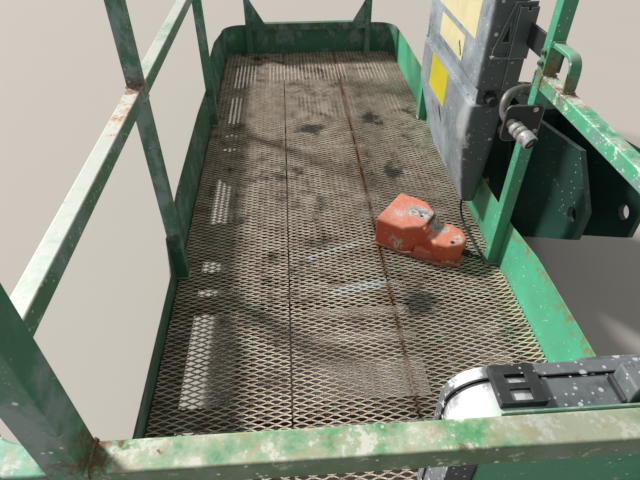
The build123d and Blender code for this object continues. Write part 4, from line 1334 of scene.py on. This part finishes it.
@dataclass
class Rails(SubAssembly):
    """Posts, rails, kick plates, gate and the frame under the floor."""

    bead: float = 0.0027
    gate_bead: float = 0.0022
    post_rise: float = 0.003
    gate_post_rise: float = 0.006
    ring_bar: float = 0.009
    ring_lap: float = 0.001

    def build(self) -> None:
        """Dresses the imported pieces."""
        finishes = self.finishes
        rails = self._named("top_rail", "mid_rail")
        dull = self._named("side_posts_left", "gate_", "kick_plates_left", "kick_plate_", "kick_corners")
        tubes = [name for name in self._named("floor_") if "mesh" not in name]
        dress(rails, finishes.rails, Edge.TUBE)
        dress([name for name in rails if name.endswith("near")], finishes.near_rails)
        dress(["side_posts_right", "case_plate"], finishes.posts, Edge.TUBE)
        dress([*dull, "threshold"], finishes.shade, Edge.PLATE)
        dress(["kick_plates_right"], finishes.plates, Edge.SHEET)
        dress([*tubes, "support_tubes"], finishes.frame, Edge.FRAME_TUBE)
        dress(["lanyard_ring"], finishes.posts, Edge.FLAT_BAR)
        dress(["gate_hinge_pins"], finishes.steel, Edge.PIN)
        self._beads()
        self._gate_beads()

    @staticmethod
    def _named(*starts: str) -> list[str]:
        """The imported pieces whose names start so."""
        return [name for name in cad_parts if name.startswith(starts)]

    @staticmethod
    def _around(low: Sequence[float], high: Sequence[float], **level: float) -> list[Point]:
        """The corners of a box's section.

        Args:
            low: the box's lowest corner.
            high: its highest corner.
            level: the axis that the section crosses, x, y or z, and where.

        Returns:
            Four corners in turn.
        """
        ((axis, value),) = level.items()
        fixed = "xyz".index(axis)
        first, second = (index for index in range(3) if index != fixed)
        corners = []
        for a, b in ((low, low), (high, low), (high, high), (low, high)):
            corner = [value, value, value]
            corner[first], corner[second] = a[first], b[second]
            corners.append(tuple(corner))
        return corners

    def _beads(self) -> None:
        """Weld beads round the joints of posts, rails and ring."""
        maker = MeshMaker("weld_beads")
        rail_low, rail_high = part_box("mid_rail_right")
        post_low, post_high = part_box("side_posts_right")
        wide = post_high.x - post_low.x
        joint = post_low.z + self.post_rise
        posts = (
            (post_low.x, post_high.x, (post_high.z, joint)),
            (-post_high.x, -post_low.x, (post_high.z, joint, rail_low.z, rail_high.z)),
        )
        for near, far in ((post_low.y, post_low.y + wide), (post_high.y - wide, post_high.y)):
            for y in (near, far):
                maker.bead(self._around(rail_low, rail_high, y=y), self.bead)
            for left, right, levels in posts:
                for z in levels:
                    maker.bead(self._around((left, near), (right, far), z=z), self.bead)
        rail_low, rail_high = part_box("mid_rail_near")
        for x in (rail_low.x, rail_high.x):
            maker.bead(self._around(rail_low, rail_high, x=x), self.bead)
        gate_low, gate_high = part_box("gate_posts_near")
        foot = gate_low.z + self.gate_post_rise
        for x in (gate_low.x, gate_high.x - wide):
            for y in (gate_low.y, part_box("gate_posts_far")[0].y):
                maker.bead(self._around((x, y), (x + wide, y + wide), z=foot), self.bead)
        low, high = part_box("lanyard_ring")
        foot, head = low.z + self.ring_lap, high.y - self.ring_lap
        maker.bead(self._around(low, (high.x, low.y + self.ring_bar), z=foot), self.bead)
        maker.bead(self._around((low.x, low.y, high.z - self.ring_bar), high, y=head), self.bead)
        maker.piece(PLATFORM, self.finishes.rails)

    def _gate_beads(self) -> None:
        """Weld beads at the sides and underneath of the gate's joints."""
        maker = MeshMaker("gate_weld_beads")
        low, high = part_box("gate_rails")
        deep = high.y - low.y
        for x in (low.x, high.x):
            for z in (low.z, high.z - deep):
                corners = self._around((x, low.y, z), (x, high.y, z + deep), x=x)
                maker.bead(corners[3:] + corners[:3], self.gate_bead, closed=False)
        maker.piece(GATE, self.finishes.shade)


@dataclass
class Console(SubAssembly):
    """The control console with its hangers, guard, controls and blank labels."""

    box_grain: float = 0.0036
    box_passes: int = 14
    head_grain: float = 0.0042
    head_passes: int = 8
    sticker: float = 0.0006
    screw: float = 0.0042
    dome: Profile = ((0.0, 1.0), (0.0012, 1.0), (0.0022, 0.8), (0.0028, 0.45))
    proud: float = 0.0004
    bolt: float = 0.0055
    bolt_proud: float = 0.0005
    guard_sheet: float = 0.004
    ledge_left: float = 0.007
    ledge_right: tuple[float, float] = (0.036, 0.008)
    ledge_rise: float = 0.0065
    ledge_level: float = 0.672
    cheek_screws: Profile = ((0.447, 0.600), (0.447, 0.655))
    cover_screw_inset: float = 0.045
    cover_screw_level: float = 0.553
    strap_bolt_inset: float = 0.016
    strap_bolt_rises: tuple[float, float] = (0.018, 0.042)
    hollow_shade: Profile = ((0.405, 0.703), (0.429, 0.703), (0.422, 0.753), (0.418, 0.753))
    hollow_shade_depths: tuple[float, float] = (0.0038, 0.0028)

    def build(self) -> None:
        """Dresses the console and adds what is stuck or screwed on it."""
        finishes = self.finishes
        soften(["console_cover", "console_box"], finishes.console, self.box_grain, self.box_passes)
        soften(["console_head"], finishes.head, self.head_grain, self.head_passes)
        dress(["console_straps"], finishes.black_paint, Edge.SHEET)
        dress(["console_guard"], finishes.grey_paint, Edge.THIN_SHEET)
        dress(["console_switches", "console_connector"], finishes.black, Edge.SHEET)
        dress(["joystick_drive", "joystick_boom"], finishes.black, Edge.KNOB)
        dress(["stop_button"], finishes.red, Edge.KNOB)
        self._labels()
        self._screws()

    def _labels(self) -> None:
        """Blank stickers on the faces that look at the operator."""
        finishes = self.finishes
        box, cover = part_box("console_box")[0].x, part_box("console_cover")[0].x
        # name, finish, outer x, near y, far y, low z, high z
        stickers = (
            ("cream_panel", finishes.cream, box, -0.203, 0.255, 0.686, 0.905),
            ("cream_strip", finishes.cream, box, -0.126, 0.116, 0.599, 0.668),
            ("yellow_panel", finishes.yellow, cover, -0.050, 0.140, 0.422, 0.531),
        )
        for name, finish, face, near, far, low, high in stickers:
            maker = MeshMaker(name)
            maker.box((face - self.sticker, near, low), (face, far, high))
            maker.piece(PLATFORM, finish)

    def _screws(self) -> None:
        """Screws in the guard and the cover, bolts in the straps, and a black sheet painting the shade
        in the guard's hollow.
        """
        guard_low, guard_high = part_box("console_guard")
        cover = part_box("console_cover")[0]
        face = guard_high.y - self.guard_sheet
        screws = MeshMaker("console_screws")
        dome = [(way, self.screw * wide) for way, wide in self.dome]
        for x in (guard_low.x + self.ledge_left, *(guard_high.x - inset for inset in self.ledge_right)):
            screws.turned((x, guard_low.y + self.ledge_rise, self.ledge_level), UP, dome, 10)
        for x, z in self.cheek_screws:
            screws.turned((x, face, z), NEARWARD, dome, 10)
        for y in (cover.y + self.cover_screw_inset, -cover.y - self.cover_screw_inset):
            screws.turned((cover.x + self.proud, y, self.cover_screw_level), LEFTWARD, dome, 10)
        screws.piece(PLATFORM, self.finishes.steel)
        strap_low, strap_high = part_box("console_straps")
        bolts = MeshMaker("strap_bolts")
        for y in (strap_low.y + self.strap_bolt_inset, strap_high.y - self.strap_bolt_inset):
            for rise in self.strap_bolt_rises:
                place = (strap_low.x + self.bolt_proud, y, strap_low.z + rise)
                bolts.bolt(place, LEFTWARD, self.bolt)
        bolts.piece(PLATFORM, self.finishes.black_paint)
        # Painted shade: a black sheet at the back of the guard's shallow hollow.
        hollow_shade = MeshMaker("guard_hollow_shade")
        hollow_shade.hexahedron([(x, face + deep, z) for deep in self.hollow_shade_depths for x, z in self.hollow_shade])
        hollow_shade.piece(PLATFORM, self.finishes.rubber)


@dataclass
class FootSwitch(SubAssembly):
    """The foot switch on the floor and its cord."""

    origin: Point = (0.262, -0.376, 0.132)
    turn: float = math.radians(-38)
    shell_grain: float = 0.0019
    shell_passes: int = 60
    foot_low: Profile = ((0.004, 0.077), (0.073, 0.058), (0.062, 0.040), (-0.006, 0.040))
    foot_high: Profile = ((0.007, 0.067), (0.064, 0.052), (0.060, 0.041), (-0.004, 0.041))
    lug_low: Profile = ((0.090, 0.060), (0.126, 0.047), (0.118, 0.020), (0.088, 0.030))
    sole: float = 0.0045
    foot_top: float = 0.029
    lug_top: float = 0.014
    rounding: float = 0.0025
    screws: tuple[Point, ...] = ((0.105, 0.047, 0.0138), (-0.020, 0.068, 0.0))
    dome: Profile = ((0.0, 0.0045), (0.0015, 0.0045), (0.0026, 0.003))
    cord_diameter: float = 0.007
    cord_length: float = 0.313
    route: tuple[Point, ...] = (
        (0.38020, -0.46835, 0.1620),
        (0.39123, -0.47697, 0.1620),
        (0.40460, -0.47835, 0.1590),
        (0.41680, -0.47245, 0.1530),
        (0.42400, -0.46105, 0.1470),
        (0.42400, -0.43835, 0.1396),
        (0.42300, -0.40835, 0.1356),
        (0.42100, -0.35035, 0.1356),
        (0.41800, -0.32100, 0.1366),
        (0.41400, -0.28800, 0.1476),
        (0.41100, -0.26400, 0.1696),
        (0.41000, -0.25500, 0.1956),
        (0.41000, -0.25500, 0.2170),
    )

    def build(self) -> None:
        """Dresses the foot switch, adds its feet and lays its cord."""
        finishes = self.finishes
        soften(["foot_switch_shell"], finishes.orange, self.shell_grain, self.shell_passes)
        dress(["foot_switch_base"], finishes.orange, Edge.SHEET)
        dress(["foot_switch_pedal"], finishes.black_paint, Edge.SHEET)
        dress(["foot_switch_gland"], finishes.rubber, Edge.SHEET)
        self._feet()
        self._holes()
        self._cord()

    def _at(self, run: float, across: float, up: float) -> Vector:
        """A point of the foot switch.

        Args:
            run: how far along the switch, from its origin.
            across: how far across it.
            up: how far above the floor.

        Returns:
            The point in the frame of the platform.
        """
        cos_t, sin_t = math.cos(self.turn), math.sin(self.turn)
        x = self.origin[0] + run * cos_t - across * sin_t
        y = self.origin[1] + run * sin_t + across * cos_t
        return Vector((x, y, self.origin[2] + up))

    def _feet(self) -> None:
        """The feet moulded to the sides of the neck and to the heel, and their screws."""
        feet = MeshMaker("foot_switch_feet")
        screws = MeshMaker("foot_switch_screws")
        lug_high = [(run * 0.99, across * 0.97) for run, across in self.lug_low]
        blocks = (
            (self.foot_low, self.foot_high, self.foot_top),
            (self.lug_low, lug_high, self.lug_top),
        )
        for side in (-1, 1):
            for low, high, top in blocks:
                corners = [
                    self._at(run, side * across, up)
                    for outline, up in ((low, self.sole), (high, top))
                    for run, across in outline
                ]
                feet.hexahedron(corners if side == 1 else corners[3::-1] + corners[:3:-1])
            for run, across, up in self.screws:
                screws.turned(self._at(run, side * across, up), UP, self.dome, 10)
        made = feet.piece(PLATFORM, self.finishes.orange)
        rounded = made.modifiers.new("rounded", "BEVEL")
        rounded.width = self.rounding
        rounded.segments = 3
        screws.piece(PLATFORM, self.finishes.plated)

    def _holes(self) -> None:
        """Black discs sunk in the top of the shell, painting the shade inside its two holes."""
        holes = MeshMaker("foot_switch_holes")
        # place on the switch, radius, thickness
        for place, radius, thick in (
            ((0.101, -0.026, 0.0672), 0.0065, 0.0031),
            ((-0.012, 0.0, 0.0962), 0.0050, 0.0040),
        ):
            holes.turned(self._at(*place), UP, ((0.0, radius), (thick, radius)))
        holes.piece(PLATFORM, self.finishes.rubber)

    def _cord(self) -> None:
        """The cord, from the gland round the post's foot to the console's cover."""
        curve = bpy.data.curves.new("foot_switch_lead", "CURVE")
        curve.dimensions = "3D"
        curve.bevel_depth = self.cord_diameter / 2
        curve.bevel_resolution = 4
        curve.use_fill_caps = True
        spline = curve.splines.new("NURBS")
        spline.points.add(len(self.route) - 1)
        for point, place in zip(spline.points, self.route):
            point.co = (*place, 1.0)
        spline.order_u = 3
        spline.use_endpoint_u = True
        cord = bpy.data.objects.new("foot_switch_lead", curve)
        bpy.context.scene.collection.objects.link(cord)
        curve.materials.append(self.finishes.rubber)
        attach(cord, PLATFORM)
        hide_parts("foot_switch_cord")
        log.info("laid the foot switch's cord")


@dataclass
class DocumentCase(SubAssembly):
    """The case on the near rail, with its handle and latch."""

    rivet: float = 0.004
    dome: Profile = ((0.0, 1.0), (0.001, 0.95), (0.002, 0.6))
    rivet_inset: float = 0.012
    rivet_rise: float = 0.02
    rivet_drop: float = 0.05
    handle_foot: float = 0.014
    bush_lap: float = 0.003
    bush_shift: float = 0.002
    bush_height: float = 0.010
    bush_rounding: float = 0.002
    tongue_inset: float = 0.012
    tongue_rise: float = 0.001
    tongue_drop: float = 0.004
    tongues: tuple[tuple[float, float], ...] = ((-1.2485, -1.2345), (-1.2285, -1.2175))

    def build(self) -> None:
        """Dresses the case and adds the handle's bushes, the rivets and the latch's tongues."""
        finishes = self.finishes
        dress(["case_back", "case_lid"], finishes.case, Edge.CASE)
        dress(["case_handle"], finishes.case, Edge.HANDLE)
        dress(["case_latch"], finishes.black, Edge.KNOB)
        low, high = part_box("case_handle")
        near, far = low.y + self.bush_shift, high.y + self.bush_shift
        bushes = MeshMaker("handle_bushes")
        for x in (low.x, high.x - self.handle_foot):
            left, right = x - self.bush_lap, x + self.handle_foot + self.bush_lap
            bushes.box((left, near, low.z), (right, far, low.z + self.bush_height))
        made = bushes.piece(PLATFORM, finishes.black)
        made.modifiers.new("rounded", "BEVEL").width = self.bush_rounding
        low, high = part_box("case_plate")
        rivets = MeshMaker("case_rivets")
        dome = [(way, self.rivet * wide) for way, wide in self.dome]
        for x in (low.x + self.rivet_inset, high.x - self.rivet_inset):
            for z in (low.z + self.rivet_rise, high.z - self.rivet_drop):
                rivets.turned((x, low.y, z), NEARWARD, dome, 10)
        rivets.piece(PLATFORM, finishes.steel)
        low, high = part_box("case_latch")
        left, right = low.x + self.tongue_inset, high.x - self.tongue_inset
        tongue = MeshMaker("latch_tongue")
        for back, front in self.tongues:
            foot, head = low.z + self.tongue_rise, high.z - self.tongue_drop
            tongue.box((left, back, foot), (right, front, head))
        tongue.piece(LID, finishes.case)


@dataclass
class BoomEnd(SubAssembly):
    """The coupling on the post, and the rotator and yoke that carry the platform."""

    barrel_aim: Point = (0.38, -0.88, -0.28)
    barrel_foot: Point = (0.393, -0.485, 0.585)
    barrel_length: float = 0.068
    seal_radius: float = 0.0128
    seal_half: float = 0.0026
    bore_shade_depth: float = 0.020
    bore_shade: Profile = ((0.0, 0.0109), (0.006, 0.0109), (0.007, 0.0090))
    nose_depth: float = 0.014
    nose: Profile = ((0.0, 0.0060), (0.004, 0.0060), (0.009, 0.0035), (0.010, 0.0020))
    plate_bolt: float = 0.0045
    plate_bolts: tuple[tuple[float, float], ...] = ((0.440, 0.010), (0.451, 0.065))
    bracket_bolt: float = 0.011
    bracket_bolt_across: float = 0.080
    bracket_bolt_levels: tuple[float, float] = (0.150, 0.350)
    cap_middle: Point = (0.660, 0.0, 0.447)
    cap_circle: float = 0.052
    cap_bolt: float = 0.0075

    def build(self) -> None:
        """Dresses them, and adds the coupling's valve and the bolts."""
        finishes = self.finishes
        dress(["coupling"], finishes.plated, Edge.BARREL)
        dress(["coupling_pipe"], finishes.pipe)
        dress(["coupling_plate", "rotator_housing"], finishes.black_paint, Edge.SHEET)
        dress(["boom_yoke", "rotator_bracket"], finishes.boom)
        self._valve()
        self._bolts()

    def _valve(self) -> None:
        """The seal at the coupling's mouth, a black plug painting the shade deep in the bore, and the
        valve inside it.
        """
        aim = Vector(self.barrel_aim).normalized()
        mouth = Vector(self.barrel_foot) + aim * self.barrel_length
        side = aim.cross(Vector(UP)).normalized()
        other = aim.cross(side)
        seal = MeshMaker("coupling_seal")
        turns = [2 * math.pi * step / 32 for step in range(33)]
        circle = [side * math.cos(turn) + other * math.sin(turn) for turn in turns]
        seal.rings([mouth + way * self.seal_radius for way in circle], self.seal_half, 8)
        # Painted shade: a black plug deep in the bore makes it look dark.
        seal.turned(mouth - aim * self.bore_shade_depth, aim, self.bore_shade)
        seal.piece(PLATFORM, self.finishes.rubber)
        valve = MeshMaker("coupling_valve")
        valve.turned(mouth - aim * self.nose_depth, aim, self.nose)
        valve.piece(PLATFORM, self.finishes.plated)

    def _bolts(self) -> None:
        """Bolts of the coupling's plate, the rotator's bracket and the yoke's cap."""
        plate_low, plate_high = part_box("coupling_plate")
        bolts = MeshMaker("platform_bolts")
        for x, drop in self.plate_bolts:
            bolts.bolt((x, plate_low.y, plate_high.z - drop), NEARWARD, self.plate_bolt)
        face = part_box("rotator_bracket")[0].x
        for y in (-self.bracket_bolt_across, self.bracket_bolt_across):
            for z in self.bracket_bolt_levels:
                bolts.bolt((face, y, z), LEFTWARD, self.bracket_bolt)
        bolts.piece(PLATFORM, self.finishes.plated)
        cap = MeshMaker("yoke_bolts")
        middle = Vector(self.cap_middle)
        for turn in range(6):
            angle = math.radians(30 + 60 * turn)
            way = Vector((math.cos(angle), math.sin(angle), 0.0))
            cap.bolt(middle + way * self.cap_circle, UP, self.cap_bolt)
        cap.piece(YOKE, self.finishes.plated)


@dataclass
class Studio:
    """Floor, backdrop, lamps and the camera at the photograph's view."""

    ground_reach: float = 30.0
    focal_pixels: float = 492.45
    image_width: int = 640
    sensor: float = 36.0
    position: Point = (-0.1216, -1.5041, 1.1258)
    pitch: float = 0.70567
    yaw: float = 0.06288
    roll: float = 0.00305
    sun_from: Point = (-1.15, 0.92, 1.0)
    sun_strength: float = 4.0
    sun_angle: float = 8.0
    sky: Colour = (0.96, 0.98, 1.0)
    sky_strength: float = 0.3

    def build(self) -> None:
        """Sets up everything that isn't part of the platform."""
        self._floor()
        self._lamps()
        self._camera()

    def _floor(self) -> None:
        """A wide pale floor."""
        mesh = bpy.data.meshes.new("ground")
        around = ((-1, -1), (1, -1), (1, 1), (-1, 1))
        corners = [(x * self.ground_reach, y * self.ground_reach, 0.0) for x, y in around]
        mesh.from_pydata(corners, [], [(0, 1, 2, 3)])
        ground = bpy.data.objects.new("ground", mesh)
        ground.data.materials.append(PaleGround().build())
        bpy.context.scene.collection.objects.link(ground)

    def _lamps(self) -> None:
        """One broad soft sun from the far left, and a plain sky."""
        lamp = bpy.data.lights.new("sun", "SUN")
        lamp.energy = self.sun_strength
        lamp.angle = math.radians(self.sun_angle)
        sun = bpy.data.objects.new("sun", lamp)
        sun.rotation_mode = "QUATERNION"
        sun.rotation_quaternion = Vector(self.sun_from).to_track_quat("Z", "Y")
        bpy.context.scene.collection.objects.link(sun)
        world = bpy.data.worlds.new("sky")
        world.use_nodes = True
        background = world.node_tree.nodes["Background"]
        background.inputs["Color"].default_value = rgba(self.sky)
        background.inputs["Strength"].default_value = self.sky_strength
        bpy.context.scene.world = world

    def _camera(self) -> None:
        """The camera, from its pitch, yaw and roll."""
        cos_p, sin_p = math.cos(self.pitch), math.sin(self.pitch)
        forward = Vector((math.sin(self.yaw) * cos_p, math.cos(self.yaw) * cos_p, -sin_p))
        right = Vector((math.cos(self.yaw), -math.sin(self.yaw), 0.0))
        down = forward.cross(right)
        turned = right * math.cos(self.roll) + down * math.sin(self.roll)
        down = down * math.cos(self.roll) - right * math.sin(self.roll)
        lens = bpy.data.cameras.new("camera")
        lens.sensor_width = self.sensor
        lens.lens = self.sensor * self.focal_pixels / self.image_width
        lens.clip_start = 0.01
        camera = bpy.data.objects.new("camera", lens)
        rotation = Matrix((turned, -down, -forward)).transposed()
        camera.matrix_world = Matrix.Translation(self.position) @ rotation.to_4x4()
        bpy.context.scene.collection.objects.link(camera)
        bpy.context.scene.camera = camera


def main() -> None:
    """Dresses the platform and sets the stage."""
    logging.basicConfig(level=logging.INFO, format="%(message)s")
    bpy.context.scene.view_settings.view_transform = "Standard"
    finishes = Finishes()
    for part in (ExpandedFloor, Rails, Console, FootSwitch, DocumentCase, BoomEnd):
        part(finishes).build()
    Studio().build()


if __name__ == "__main__":
    main()
